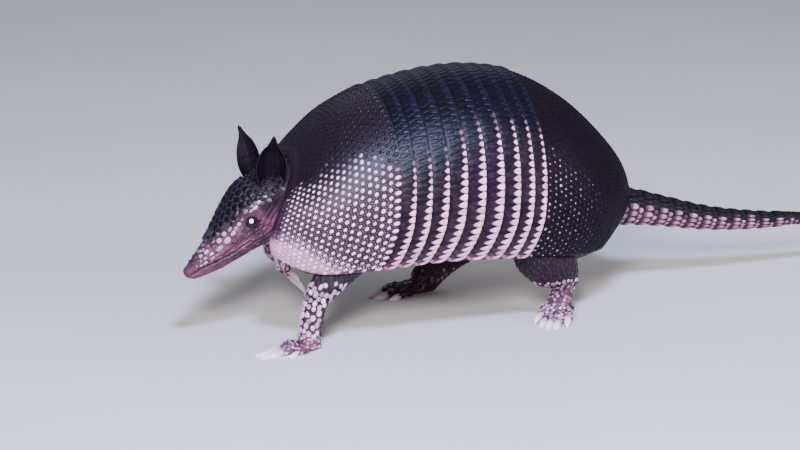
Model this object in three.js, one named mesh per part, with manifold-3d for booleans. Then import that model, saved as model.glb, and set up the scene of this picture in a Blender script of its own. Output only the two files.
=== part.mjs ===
// A nine-banded armadillo standing in mid stride with its head down, life size.
// Millimetres, +Z up. The head points to -X, the animal's left side to -Y, and the floor is z = 0.

import * as THREE from "three";
import { mergeVertices } from "three/addons/utils/BufferGeometryUtils.js";
import Module from "manifold-3d";

const wasm = await Module();
wasm.setup();

// ---------------------------------------------------------------- driving dimensions

const GAP = 0.3; // clearance between neighbouring pieces
const PLATE = 4; // thickness of the bony shell
const FLESH_UNDER_SHELL = PLATE + 0.9; // depth of the trunk below the shell's face
const ARCH_STEPS = 18; // facets across a shell arch
const SHIELD_ROWS = 6; // facets along each of the two shields
const HEAD_STEPS = 20; // facets round the head and neck
const ORIGIN = new THREE.Vector3(110.02, 0, 0); // middle of the whole animal, on the floor

const BANDS = 9;
const SHELL_FRONT = -184; // stations of the shell, along X
const BAND_EDGES = [-87, -73, -58.3, -43, -26.6, -10, 6.5, 21, 33.5, 44.5];
const BAND_START = BAND_EDGES[0];
const BAND_END = BAND_EDGES[BANDS];
const SHELL_REAR = 136;
const BAND_LIP = 1.6; // each band's rear edge stands proud of the next one
const BAND_TUCK = -0.5; // and its front edge is tucked under
const BAND_SCALLOP = 0.035; // the lower ends are rounded

const HEAD_REAR = -179; // stations of the head and neck, along X
const NECK_REAR = -140;
const TRUNK_FRONT = -151;

const EYE_RADIUS = 4.6;
const EYE_CENTRE = new THREE.Vector3(-197.6, 18.3, 104.6);
const EAR_HEIGHT = 45;
const EAR_HALF_WIDTH = 12.8;
const EAR_THICKNESS = 1.5;
const EAR_LEAN = { left: -0.06, right: -0.32 }; // each ear's own turn forwards

const TAIL_ROOT = 112; // inside the trunk
const TAIL_FRONT = 131;
const TAIL_RINGS = 12;
const TAIL_RINGS_REAR = 318;
const TAIL_MIDDLE = 396;
const TAIL_TIP = 470;
const TAIL_LIP = 1.4; // each ring's rear edge is this much wider in radius than its front

// Shell arches: ring centre (x, z), lean of the arch's top towards the tail in degrees, half width,
// height above and below the centre, angle of the lower edge from the top, and the lower edge's sweep.
const SHELL = [
  { x: -184, z: 104, lean: 27, width: 46, top: 57, low: 47, edge: 130, sweep: 12, lobe: 8 },
  { x: -166, z: 104, lean: 18, width: 60, top: 69, low: 57, edge: 131, sweep: 6, lobe: 6 },
  { x: -142, z: 104, lean: 10, width: 73, top: 83, low: 66, edge: 129, sweep: -4, lobe: 3 },
  { x: -110, z: 105, lean: 3, width: 82, top: 93, low: 71, edge: 125, sweep: -14, lobe: 0 },
  { x: -70, z: 105, lean: -1, width: 86, top: 103, low: 73, edge: 122, sweep: -22, lobe: 0 },
  { x: -25, z: 105, lean: -2, width: 89, top: 110, low: 72, edge: 121, sweep: -27, lobe: 0 },
  { x: 15, z: 104, lean: -3, width: 90, top: 111, low: 74, edge: 121, sweep: -26, lobe: 0 },
  { x: 52, z: 101, lean: -2, width: 88, top: 105, low: 76, edge: 121, sweep: -21, lobe: 0 },
  { x: 84, z: 95, lean: 3, width: 81, top: 88, low: 74, edge: 121, sweep: -11, lobe: 0 },
  { x: 108, z: 88, lean: 12, width: 69, top: 66, low: 66, edge: 121, sweep: -6, lobe: 0 },
  { x: 126, z: 80, lean: 24, width: 52, top: 47, low: 54, edge: 121, sweep: -2, lobe: 0 },
  { x: 136, z: 73, lean: 36, width: 34, top: 32, low: 40, edge: 122, sweep: 0, lobe: 0 },
];

// Depth of the belly below the shell's lower edge.
const BELLY = [
  { x: -184, depth: 5 },
  { x: -150, depth: 8 },
  { x: -60, depth: 10 },
  { x: 30, depth: 10 },
  { x: 84, depth: 14 },
  { x: 129, depth: 8 },
];

// Head and neck: ring centre (x, z), lean of the ring, half width, height above and below the centre.
const HEAD = [
  { x: -246, z: 60, lean: -42, width: 6.8, top: 6.5, low: 6.5 },
  { x: -239, z: 64, lean: -44, width: 9, top: 9.5, low: 9 },
  { x: -230, z: 70, lean: -46, width: 11, top: 12.5, low: 12.5 },
  { x: -216, z: 82, lean: -47, width: 15, top: 17, low: 18 },
  { x: -203, z: 98, lean: -46, width: 20.5, top: 20.5, low: 28 },
  { x: -190, z: 111, lean: -40, width: 25, top: 24, low: 37 },
  { x: -177, z: 117, lean: -25, width: 29, top: 26, low: 42 },
  { x: -165, z: 117, lean: -12, width: 41, top: 30, low: 43 },
  { x: -151, z: 113, lean: -2, width: 55, top: 38, low: 46 },
  { x: -140, z: 111, lean: 4, width: 60, top: 50, low: 46 },
];

// The bony shield on top of the head, in stations along X and degrees either side of the top.
const CROWN = { front: -222, rear: -183, halfAngle: 54, thickness: 1.3, steps: 5 };

// Tail: axis height and radius.
const TAIL = [
  { x: 112, z: 82, radius: 20 },
  { x: 131, z: 80.5, radius: 18 },
  { x: 158, z: 77, radius: 16.2 },
  { x: 196, z: 68.5, radius: 13.2 },
  { x: 235, z: 59, radius: 10.8 },
  { x: 298, z: 50, radius: 7.7 },
  { x: 340, z: 47, radius: 5.6 },
  { x: 396, z: 33, radius: 4.2 },
  { x: 440, z: 14, radius: 3.2 },
  { x: 470, z: 6, radius: 1.8 },
];

// Toes from the inner to the outer one: place across the foot and along it, turn outwards in degrees,
// length and radius of the toe, length and radius of its claw.
const FRONT_TOES = [
  { across: -9, along: 1, turn: -10, toe: 6, radius: 3.7, claw: 13, root: 2.6 },
  { across: -2.8, along: 5, turn: -2, toe: 8, radius: 4.2, claw: 23, root: 3.3 },
  { across: 2.8, along: 5, turn: 4, toe: 8, radius: 4.2, claw: 21, root: 3.1 },
  { across: 9.2, along: -1, turn: 12, toe: 5, radius: 3.5, claw: 9, root: 2.3 },
];
const HIND_TOES = [
  { across: -11, along: -6, turn: -12, toe: 6, radius: 4, claw: 11, root: 3 },
  { across: -5.2, along: 1, turn: -4, toe: 7.5, radius: 4.5, claw: 13, root: 3.6 },
  { across: 0, along: 3, turn: 0, toe: 8, radius: 4.8, claw: 14, root: 3.8 },
  { across: 5.2, along: 1, turn: 4, toe: 7.5, radius: 4.5, claw: 13, root: 3.6 },
  { across: 11, along: -6, turn: 12, toe: 6, radius: 4, claw: 11, root: 3 },
];
const FRONT_SOLE = { length: 22, halfWidth: 11.5, height: 12 };
const HIND_SOLE = { length: 37, halfWidth: 12.5, height: 15 };

// Legs: side (-1 is the animal's left), the path from inside the body to the ankle with its half
// breadths across and along, and the foot: where its toes begin, heading in degrees outwards,
// pitch of the whole foot, and how far the heel is raised.
const LEGS = {
  front_left: {
    side: -1,
    toes: FRONT_TOES,
    sole: FRONT_SOLE,
    foot: { at: [-174, -54, 0], turn: 8, pitch: 0, raise: 0 },
    path: [
      { at: [-110, -46, 100], half: [22, 28] },
      { at: [-127, -53, 78], half: [18, 21] },
      { at: [-144, -55, 58], half: [13, 14.5] },
      { at: [-155, -54, 42], half: [10, 10.5] },
      { at: [-159, -53.5, 26], half: [9.5, 9.5] },
      { at: [-161, -53, 7], half: [8.8, 9.4] },
    ],
  },
  front_right: {
    side: 1,
    toes: FRONT_TOES,
    sole: FRONT_SOLE,
    foot: { at: [-149, 41, 51], turn: 0, pitch: 122, raise: 0 },
    path: [
      { at: [-108, 44, 98], half: [22, 26] },
      { at: [-126, 47, 82], half: [17, 20] },
      { at: [-145, 44, 71], half: [12, 14] },
      { at: [-160, 42, 65], half: [9, 10] },
    ],
  },
  hind_left: {
    side: -1,
    toes: HIND_TOES,
    sole: HIND_SOLE,
    foot: { at: [57, -66, 0], turn: 45, pitch: 0, raise: 42 },
    path: [
      { at: [84, -38, 92], half: [26, 36] },
      { at: [57, -51, 70], half: [22, 34] },
      { at: [60, -54, 52], half: [17, 28] },
      { at: [71, -51, 37], half: [12, 16] },
      { at: [77, -47, 26], half: [9.5, 11.5] },
    ],
  },
  hind_right: {
    side: 1,
    toes: HIND_TOES,
    sole: HIND_SOLE,
    foot: { at: [-37, 63, 0], turn: 0, pitch: 0, raise: 0 },
    path: [
      { at: [84, 40, 92], half: [26, 34] },
      { at: [56, 52, 66], half: [20, 28] },
      { at: [30, 58, 44], half: [14, 19] },
      { at: [6, 61, 27], half: [12, 16.5] },
      { at: [-9, 62, 10], half: [10.5, 14] },
    ],
  },
};

const COLOURS = {
  shield: { color: 0x6b5560, roughness: 0.42, metalness: 0 },
  band: { color: 0x4a3a46, roughness: 0.4, metalness: 0 },
  crown: { color: 0x1d191f, roughness: 0.3, metalness: 0 },
  skin: { color: 0x5b4150, roughness: 0.6, metalness: 0 },
  foot: { color: 0x9a7488, roughness: 0.55, metalness: 0 },
  ear: { color: 0x241c25, roughness: 0.65, metalness: 0 },
  eye: { color: 0x0b090b, roughness: 0.08, metalness: 0 },
  claw: { color: 0xdcc6cb, roughness: 0.4, metalness: 0 },
  tail: { color: 0x8d6c78, roughness: 0.45, metalness: 0 },
};

// ---------------------------------------------------------------- curves through stations

/** A smooth curve through one column of a table of stations: cubic Hermite with averaged slopes. */
class Track {
  constructor(rows, key) {
    this.x = rows.map((row) => row.x);
    this.y = rows.map((row) => row[key]);
    const last = rows.length - 1;
    const step = [];
    const rise = [];
    for (let i = 0; i < last; i++) {
      step.push(this.x[i + 1] - this.x[i]);
      rise.push((this.y[i + 1] - this.y[i]) / step[i]);
    }
    this.slope = rise.concat(0);
    for (let i = 1; i < last; i++) {
      this.slope[i] = (rise[i - 1] * step[i] + rise[i] * step[i - 1]) / (step[i] + step[i - 1]);
    }
    this.slope[0] = 1.5 * rise[0] - 0.5 * this.slope[1];
    this.slope[last] = 1.5 * rise[last - 1] - 0.5 * this.slope[last - 1];
  }

  at(u) {
    let i = 0;
    while (i < this.x.length - 2 && u >= this.x[i + 1]) i++;
    const h = this.x[i + 1] - this.x[i];
    const t = (u - this.x[i]) / h;
    const t2 = t * t;
    const t3 = t2 * t;
    const ends = (2 * t3 - 3 * t2 + 1) * this.y[i] + (3 * t2 - 2 * t3) * this.y[i + 1];
    const slopes = (t3 - 2 * t2 + t) * this.slope[i] + (t3 - t2) * this.slope[i + 1];
    return ends + slopes * h;
  }
}

function tracks(rows) {
  const made = {};
  for (const key of Object.keys(rows[0])) {
    if (key !== "x") made[key] = new Track(rows, key);
  }
  return made;
}

const shell = tracks(SHELL);
const belly = tracks(BELLY);
const head = tracks(HEAD);
const tail = tracks(TAIL);

const radians = THREE.MathUtils.degToRad;
const lerp = THREE.MathUtils.lerp;

function steps(from, to, count) {
  return Array.from({ length: count + 1 }, (_, i) => lerp(from, to, i / count));
}

// ---------------------------------------------------------------- surfaces

/** A point of the shell at station u; share runs from -1 (left edge) over the top to +1. */
function shellPoint(u, share, out = 0) {
  const angle = radians(shell.edge.at(u)) * share;
  const height = (Math.cos(angle) > 0 ? shell.top.at(u) : shell.low.at(u)) + out;
  const v = height * Math.cos(angle);
  const lean = radians(shell.lean.at(u));
  const s2 = share * share;
  const forward = shell.sweep.at(u) * Math.abs(share) ** 3 - shell.lobe.at(u) * 4 * s2 * Math.max(0, 1 - s2);
  const y = (shell.width.at(u) + out) * Math.sin(angle);
  return new THREE.Vector3(u + v * Math.sin(lean) + forward, y, shell.z.at(u) + v * Math.cos(lean));
}

/** A closed ring round the body at station u: the shell's arch, and the belly hanging under it. */
function bodyRing(u, out, drop = 0) {
  const ring = steps(-1, 1, ARCH_STEPS).map((share) => shellPoint(u, share, out));
  const left = ring[0];
  const right = ring[ARCH_STEPS];
  const underSteps = 6;
  for (let i = 1; i < underSteps; i++) {
    const angle = (Math.PI * i) / underSteps;
    const point = right.clone().lerp(left, (1 - Math.cos(angle)) / 2);
    point.z -= belly.depth.at(u) * Math.sin(angle) ** 0.8 + drop;
    ring.push(point);
  }
  return ring;
}

/** A point of the head or neck: angle in degrees from the top, positive to the right side. */
function headPoint(u, degrees, out = 0) {
  const angle = radians(degrees);
  const height = (Math.cos(angle) > 0 ? head.top.at(u) : head.low.at(u)) + out;
  const v = height * Math.cos(angle);
  const lean = radians(head.lean.at(u));
  const y = (head.width.at(u) + out) * Math.sin(angle);
  return new THREE.Vector3(u + v * Math.sin(lean), y, head.z.at(u) + v * Math.cos(lean));
}

function headRing(u, out = 0) {
  return Array.from({ length: HEAD_STEPS }, (_, i) => headPoint(u, (360 * i) / HEAD_STEPS, out));
}

/** A ring of an ellipse at a point, across the given direction, with its first axis along Y. */
function crossRing(centre, along, half, count, aside = new THREE.Vector3(0, 1, 0)) {
  const direction = along.clone().normalize();
  const first = aside.clone().addScaledVector(direction, -aside.dot(direction)).normalize();
  const second = new THREE.Vector3().crossVectors(direction, first);
  return Array.from({ length: count }, (_, i) => {
    const angle = (2 * Math.PI * i) / count;
    return centre
      .clone()
      .addScaledVector(first, half[0] * Math.cos(angle))
      .addScaledVector(second, half[1] * Math.sin(angle));
  });
}

// ---------------------------------------------------------------- closed solids

function signedVolume(points, faces) {
  let volume = 0;
  for (const [a, b, c] of faces) {
    volume += points[a].dot(new THREE.Vector3().crossVectors(points[b], points[c])) / 6;
  }
  return volume;
}

/** A geometry from shared points and triangles, with its faces turned outwards. */
function closedGeometry(points, faces) {
  const turned = signedVolume(points, faces) < 0 ? faces.map(([a, b, c]) => [a, c, b]) : faces;
  const geometry = new THREE.BufferGeometry().setFromPoints(points);
  geometry.setIndex(turned.flat());
  return geometry;
}

function middle(ring) {
  return ring.reduce((sum, point) => sum.add(point), new THREE.Vector3()).divideScalar(ring.length);
}

/** A closed solid through a row of closed rings, with a fan over each end. */
function loft(rings) {
  const count = rings[0].length;
  const points = rings.flat();
  const faces = [];
  for (let r = 0; r + 1 < rings.length; r++) {
    for (let i = 0; i < count; i++) {
      const a = r * count + i;
      const b = r * count + ((i + 1) % count);
      faces.push([a, b, a + count], [b, b + count, a + count]);
    }
  }
  for (const end of [0, rings.length - 1]) {
    const hub = points.push(middle(rings[end])) - 1;
    for (let i = 0; i < count; i++) {
      const a = end * count + i;
      const b = end * count + ((i + 1) % count);
      faces.push(end === 0 ? [b, a, hub] : [a, b, hub]);
    }
  }
  return closedGeometry(points, faces);
}

/** A closed solid between two open sheets of points with the same rows and columns. */
function slab(outer, inner) {
  const rows = outer.length;
  const columns = outer[0].length;
  const points = outer.flat().concat(inner.flat());
  const lower = rows * columns;
  const faces = [];
  const quad = (a, b, c, d) => faces.push([a, b, c], [a, c, d]);
  for (let r = 0; r + 1 < rows; r++) {
    for (let c = 0; c + 1 < columns; c++) {
      const a = r * columns + c;
      quad(a, a + 1, a + columns + 1, a + columns);
      quad(lower + a, lower + a + columns, lower + a + columns + 1, lower + a + 1);
    }
  }
  for (let c = 0; c + 1 < columns; c++) {
    const far = (rows - 1) * columns + c;
    quad(c, lower + c, lower + c + 1, c + 1);
    quad(far, far + 1, lower + far + 1, lower + far);
  }
  for (let r = 0; r + 1 < rows; r++) {
    const near = r * columns;
    const far = near + columns - 1;
    quad(near, near + columns, lower + near + columns, lower + near);
    quad(far, lower + far, lower + far + columns, far + columns);
  }
  return closedGeometry(points, faces);
}

function toSolid(geometry) {
  const bare = geometry.clone();
  bare.deleteAttribute("normal");
  bare.deleteAttribute("uv");
  const merged = mergeVertices(bare, 1e-4);
  return new wasm.Manifold(
    new wasm.Mesh({
      numProp: 3,
      vertProperties: new Float32Array(merged.attributes.position.array),
      triVerts: new Uint32Array(merged.index.array),
    }),
  );
}

function fromSolid(solid) {
  const mesh = solid.getMesh();
  const geometry = new THREE.BufferGeometry();
  geometry.setAttribute("position", new THREE.BufferAttribute(mesh.vertProperties, mesh.numProp));
  geometry.setIndex(new THREE.BufferAttribute(mesh.triVerts, 1));
  return geometry;
}

function cut(geometry, ...tools) {
  return fromSolid(tools.reduce((rest, tool) => rest.subtract(toSolid(tool)), toSolid(geometry)));
}

function join(geometries) {
  return fromSolid(geometries.map(toSolid).reduce((sum, solid) => sum.add(solid)));
}

// ---------------------------------------------------------------- shell

/** A plate of the shell between two stations; rise gives its face's height for t from 0 to 1. */
function plate(front, rear, rows, rise, scallop = 0) {
  const sheet = (offset) =>
    steps(0, 1, rows).map((t) => {
      const u = lerp(front, rear, t);
      const reach = 1 - scallop * (2 * t - 1) ** 2;
      return steps(-reach, reach, ARCH_STEPS).map((share) => shellPoint(u, share, offset(t)));
    });
  return slab(sheet(rise), sheet(() => -PLATE));
}

function band(index) {
  const front = BAND_EDGES[index] + GAP / 2;
  const rear = BAND_EDGES[index + 1] - GAP / 2;
  return plate(front, rear, 2, (t) => lerp(BAND_TUCK, BAND_LIP, t ** 0.8), BAND_SCALLOP);
}

function scapularShield() {
  return plate(SHELL_FRONT, BAND_START - GAP, SHIELD_ROWS, (t) => BAND_LIP * t ** 4);
}

function pelvicShield() {
  return plate(BAND_END + GAP, SHELL_REAR, SHIELD_ROWS, (t) => BAND_TUCK * (1 - t) ** 4);
}

/** The shell as one piece, a little larger, to cut the legs with. */
function shellSpace() {
  const sheet = (out) =>
    steps(SHELL_FRONT - 1, SHELL_REAR + 1, 16).map((u) =>
      steps(-1.02, 1.02, ARCH_STEPS).map((share) => shellPoint(u, share, out)),
    );
  return slab(sheet(BAND_LIP + GAP), sheet(-FLESH_UNDER_SHELL - 1));
}

// ---------------------------------------------------------------- head, neck and trunk

/** The trunk, or the space it takes when it is grown by a clearance. */
function trunk(grow = 0) {
  const underScapular = steps(TRUNK_FRONT - grow, BAND_START, 3);
  const underBands = steps(BAND_START, BAND_END, 3).slice(1, 3);
  const underPelvic = steps(BAND_END, SHELL_REAR, SHIELD_ROWS).slice(0, SHIELD_ROWS);
  underPelvic[SHIELD_ROWS - 1] += grow;
  const stations = [...underScapular, ...underBands, ...underPelvic];
  return loft(stations.map((u) => bodyRing(u, grow - FLESH_UNDER_SHELL, grow)));
}

function neck() {
  return cut(loft(steps(HEAD_REAR + GAP, NECK_REAR, 5).map((u) => headRing(u))), trunk(GAP));
}

function eyeball(side, grow = 0) {
  const eye = new THREE.IcosahedronGeometry(EYE_RADIUS + grow, 1);
  return eye.translate(EYE_CENTRE.x, side * EYE_CENTRE.y, EYE_CENTRE.z);
}

function skull() {
  const snout = steps(-246, -226, 3);
  const face = steps(CROWN.front, CROWN.rear, CROWN.steps);
  const stations = [...snout, ...face, HEAD_REAR];
  return cut(loft(stations.map((u) => headRing(u))), eyeball(-1, GAP), eyeball(1, GAP));
}

/** The shield on top of the head, or the space it takes when it is grown by a clearance. */
function crown(grow = 0) {
  const sheet = (out) =>
    steps(CROWN.front, CROWN.rear + grow, CROWN.steps).map((u) =>
      steps(-CROWN.halfAngle - grow, CROWN.halfAngle + grow, 6).map((degrees) => headPoint(u, degrees, out)),
    );
  return slab(sheet(GAP + CROWN.thickness + grow), sheet(GAP - grow));
}

/** An ear: a leaf curled into a funnel at its root, opening outwards and a little forwards. */
function ear(side, lean) {
  const root = new THREE.Vector3(-179, side * 17, 133);
  const upwards = new THREE.Vector3(lean, side * 0.3, 1).normalize();
  const facing = new THREE.Vector3(-0.55, side * 0.9, 0);
  facing.addScaledVector(upwards, -facing.dot(upwards)).normalize();
  const across = new THREE.Vector3().crossVectors(upwards, facing);
  const sheet = (out) =>
    steps(0, 1, 5).map((t) => {
      const half = EAR_HALF_WIDTH * earWidth(t);
      const curl = radians(lerp(105, 38, t ** 0.7));
      const radius = half / Math.sin(Math.min(curl, Math.PI / 2));
      return steps(-1, 1, 5).map((share) => {
        const angle = share * curl;
        const r = radius + out * (1 - 0.4 * Math.abs(share));
        return root
          .clone()
          .addScaledVector(upwards, EAR_HEIGHT * t)
          .addScaledVector(across, r * Math.sin(angle))
          .addScaledVector(facing, radius * 0.6 - r * Math.cos(angle));
      });
    });
  return slab(sheet(EAR_THICKNESS / 2), sheet(-EAR_THICKNESS / 2));
}

/** Half width of the ear at height t, as a share of the widest place. */
function earWidth(t) {
  const swell = Math.sin(Math.PI * Math.min(1, t / 0.8) ** 0.9);
  const taper = Math.max(0, (t - 0.45) / 0.55) ** 2;
  return 0.62 + 0.38 * swell - 0.5 * taper;
}

// ---------------------------------------------------------------- legs, feet and claws

/** Places a foot's own frame (X to the toes, Y outwards, Z up) in the model. */
function footMatrix(leg) {
  const { at, turn, pitch } = leg.foot;
  const matrix = new THREE.Matrix4().makeTranslation(...at);
  matrix.multiply(new THREE.Matrix4().makeRotationZ(Math.PI - leg.side * radians(turn)));
  matrix.multiply(new THREE.Matrix4().makeScale(1, -leg.side, 1));
  matrix.multiply(new THREE.Matrix4().makeRotationY(radians(pitch)));
  return matrix;
}

/** Moves a geometry by a matrix, and keeps its faces outwards where the matrix mirrors it. */
function placed(geometry, matrix) {
  geometry.applyMatrix4(matrix);
  if (matrix.determinant() < 0) {
    const index = geometry.index.array;
    for (let i = 0; i < index.length; i += 3) [index[i + 1], index[i + 2]] = [index[i + 2], index[i + 1]];
  }
  return geometry;
}

/** Lifts the heel: what lies behind the toes turns up about them. */
function raised(point, degrees) {
  if (point.x >= 0) return point;
  const angle = radians(degrees);
  const rise = point.z - 6;
  return new THREE.Vector3(
    point.x * Math.cos(angle) + rise * Math.sin(angle) * 0.4,
    point.y,
    6 - point.x * Math.sin(angle) + rise * Math.cos(angle),
  );
}

function sole(leg, grow) {
  const { length, halfWidth, height } = leg.sole;
  const rows = steps(0, 1, 4).map((t) => {
    const swell = Math.sqrt(Math.max(0.12, Math.sin(Math.PI * lerp(0.08, 0.8, t))));
    const across = halfWidth * lerp(0.72, 1, t) * swell + grow;
    const half = [across, (height / 2) * lerp(1.08, 0.72, t) * swell + grow];
    const centre = new THREE.Vector3(lerp(-length, 0, t), 0, half[1] - grow - 0.5);
    return crossRing(centre, new THREE.Vector3(1, 0, 0), half, 8).map((p) => raised(p, leg.foot.raise));
  });
  return loft(rows);
}

function toePath(leg, toe) {
  const heading = radians(toe.turn);
  const forward = new THREE.Vector3(Math.cos(heading), Math.sin(heading), 0);
  const lift = toe.along < 0 ? leg.foot.raise * 0.8 : 0;
  const start = raised(new THREE.Vector3(toe.along - 5, toe.across, toe.radius), leg.foot.raise);
  const knuckle = raised(new THREE.Vector3(toe.along, toe.across, toe.radius + 1), lift);
  const tip = knuckle.clone().addScaledVector(forward, toe.toe);
  tip.z -= 0.14 * toe.radius + 1.9;
  return { start, knuckle, tip, forward, lift };
}

function toeSolid(leg, toe, grow) {
  const { start, knuckle, tip } = toePath(leg, toe);
  const r = toe.radius + grow;
  const rings = [
    crossRing(start, knuckle.clone().sub(start), [r * 0.9, r * 0.9], 6),
    crossRing(knuckle, tip.clone().sub(start), [r, r], 6),
    crossRing(tip, tip.clone().sub(knuckle), [r * 0.9, r * 0.86], 6),
  ];
  return loft(rings);
}

/** A claw: a tapering horn that leaves the toe's end and bends down to the floor. */
function claw(leg, toe) {
  const { knuckle, tip, forward, lift } = toePath(leg, toe);
  const onwards = tip.clone().sub(knuckle).normalize();
  const root = tip.clone().addScaledVector(onwards, GAP + 0.1);
  const bend = root.clone().addScaledVector(onwards, toe.claw * 0.55);
  const end = root.clone().addScaledVector(forward, toe.claw);
  end.z = lift > 0 ? root.z - toe.claw * 0.5 : 0.8;
  const curve = new THREE.QuadraticBezierCurve3(root, bend, end);
  const rows = steps(0, 0.94, 3).map((t) => {
    const radius = toe.root * (1 - t ** 2) ** 0.7;
    return crossRing(curve.getPoint(t), curve.getTangent(t), [radius * 0.8, radius], 6);
  });
  return cut(placed(loft(rows), footMatrix(leg)), footSolid(leg, GAP), floorSpace());
}

function footSolid(leg, grow = 0) {
  const parts = [sole(leg, grow), ...leg.toes.map((toe) => toeSolid(leg, toe, grow))];
  return placed(join(parts), footMatrix(leg));
}

function floorSpace() {
  return new THREE.BoxGeometry(900, 400, 40).translate(0, 0, -20);
}

function foot(leg) {
  return cut(footSolid(leg), floorSpace(), shellSpace(), trunk(GAP));
}

function limb(leg) {
  const curve = new THREE.CatmullRomCurve3(leg.path.map((row) => new THREE.Vector3(...row.at)));
  const last = leg.path.length - 1;
  const rings = steps(0, 1, last + 1).map((t) => {
    const place = t * last;
    const i = Math.min(Math.floor(place), last - 1);
    const half = [0, 1].map((k) => lerp(leg.path[i].half[k], leg.path[i + 1].half[k], place - i));
    return crossRing(curve.getPoint(t), curve.getTangent(t), half, 10);
  });
  return cut(loft(rings), trunk(GAP), shellSpace(), footSolid(leg, GAP));
}

// ---------------------------------------------------------------- tail

function tailRing(u, out) {
  const slope = (tail.z.at(u + 1) - tail.z.at(u - 1)) / 2;
  const r = tail.radius.at(u) + out;
  return crossRing(new THREE.Vector3(u, 0, tail.z.at(u)), new THREE.Vector3(1, 0, slope), [r, r], 10);
}

function tailPiece(front, rear, rows, lip) {
  return loft(steps(0, 1, rows).map((t) => tailRing(lerp(front, rear, t), lip * (t - 0.5))));
}

function tailRingEdge(index) {
  return lerp(TAIL_FRONT, TAIL_RINGS_REAR, index / TAIL_RINGS);
}

// ---------------------------------------------------------------- the model

const model = new THREE.Group();
model.position.copy(ORIGIN).negate();

function add(name, geometry, look) {
  const mesh = new THREE.Mesh(geometry, new THREE.MeshStandardMaterial(look));
  mesh.name = name;
  model.add(mesh);
}

add("head", skull(), COLOURS.skin);
add("head_shield", crown(), COLOURS.crown);
add("neck", neck(), COLOURS.skin);
add("trunk", trunk(), COLOURS.skin);
for (const [word, side] of [["left", -1], ["right", 1]]) {
  const headSpace = loft(steps(CROWN.front, -160, 8).map((u) => headRing(u, 2 * GAP)));
  add(`ear_${word}`, cut(ear(side, EAR_LEAN[word]), headSpace, crown(GAP)), COLOURS.ear);
  add(`eye_${word}`, eyeball(side), COLOURS.eye);
}

add("scapular_shield", scapularShield(), COLOURS.shield);
for (let i = 0; i < BANDS; i++) add(`band_${i + 1}`, band(i), COLOURS.band);
add("pelvic_shield", pelvicShield(), COLOURS.shield);

for (const [name, leg] of Object.entries(LEGS)) {
  const [place, word] = name.split("_");
  add(`${place}_leg_${word}`, limb(leg), COLOURS.skin);
  add(`${place}_foot_${word}`, foot(leg), COLOURS.foot);
  leg.toes.forEach((toe, i) => {
    add(`${place}_claw_${word}_${i + 1}`, claw(leg, toe), COLOURS.claw);
  });
}

add("tail_ring_1", cut(tailPiece(TAIL_ROOT, tailRingEdge(1), 2, TAIL_LIP), trunk(GAP)), COLOURS.tail);
for (let i = 1; i < TAIL_RINGS; i++) {
  add(`tail_ring_${i + 1}`, tailPiece(tailRingEdge(i) + GAP, tailRingEdge(i + 1), 1, TAIL_LIP), COLOURS.tail);
}
add("tail_end_1", tailPiece(TAIL_RINGS_REAR + GAP, TAIL_MIDDLE, 3, 0), COLOURS.tail);
add("tail_end_2", tailPiece(TAIL_MIDDLE + GAP, TAIL_TIP, 3, 0), COLOURS.tail);

export default model;
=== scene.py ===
"""The looks of a life-size nine-banded armadillo in mid stride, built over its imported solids.

The head points to -X, the animal's left side to -Y and the floor is z = 0. Tables are in millimetres and
meshes in metres.
"""

import logging
import math
from collections.abc import Callable, Sequence
from dataclasses import dataclass, field
from enum import Enum
from functools import cached_property
from itertools import product

import bpy
import numpy as np
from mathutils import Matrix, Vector
from mathutils.bvhtree import BVHTree


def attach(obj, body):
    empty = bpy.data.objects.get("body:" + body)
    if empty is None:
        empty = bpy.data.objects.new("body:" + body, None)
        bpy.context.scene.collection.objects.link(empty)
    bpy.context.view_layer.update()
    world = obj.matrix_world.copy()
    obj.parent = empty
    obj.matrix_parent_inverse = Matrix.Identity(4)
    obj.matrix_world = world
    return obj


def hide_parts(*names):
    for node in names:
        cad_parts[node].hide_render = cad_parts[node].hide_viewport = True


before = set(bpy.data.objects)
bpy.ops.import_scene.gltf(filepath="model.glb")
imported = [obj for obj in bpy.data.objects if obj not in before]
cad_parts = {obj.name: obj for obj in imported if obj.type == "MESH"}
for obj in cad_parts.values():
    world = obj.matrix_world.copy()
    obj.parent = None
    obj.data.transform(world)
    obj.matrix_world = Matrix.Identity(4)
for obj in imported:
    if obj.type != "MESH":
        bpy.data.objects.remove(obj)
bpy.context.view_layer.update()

log = logging.getLogger("armadillo")

MM = 0.001
ORIGIN_X = 110.02  # the solids' own shift along X
ROOT = "root"
SEED = 20

Array = np.ndarray
Colour = tuple[float, float, float]
Piece = bpy.types.Object
Socket = bpy.types.NodeSocket
Random = np.random.Generator


class Side(Enum):
    """The two sides of the animal."""

    LEFT = -1
    RIGHT = 1

    @property
    def word(self) -> str:
        """The side's name as the nodes spell it."""
        return self.name.lower()


# ---- stations shared with the solids

SHELL_KEYS = ("z", "lean", "width", "top", "low", "edge", "sweep", "lobe")
SHELL_ROWS = (
    (-184, 104, 27, 46, 57, 47, 130, 12, 8),
    (-166, 104, 18, 60, 69, 57, 131, 6, 6),
    (-142, 104, 10, 73, 83, 66, 129, -4, 3),
    (-110, 105, 3, 82, 93, 71, 125, -14, 0),
    (-70, 105, -1, 86, 103, 73, 122, -22, 0),
    (-25, 105, -2, 89, 110, 72, 121, -27, 0),
    (15, 104, -3, 90, 111, 74, 121, -26, 0),
    (52, 101, -2, 88, 105, 76, 121, -21, 0),
    (84, 95, 3, 81, 88, 74, 121, -11, 0),
    (108, 88, 12, 69, 66, 66, 121, -6, 0),
    (126, 80, 24, 52, 47, 54, 121, -2, 0),
    (136, 73, 36, 34, 32, 40, 122, 0, 0),
)
BELLY_KEYS = ("depth",)
BELLY_ROWS = ((-184, 5), (-150, 8), (-60, 10), (30, 10), (84, 14), (129, 8))
HEAD_KEYS = ("z", "lean", "width", "top", "low")
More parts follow.
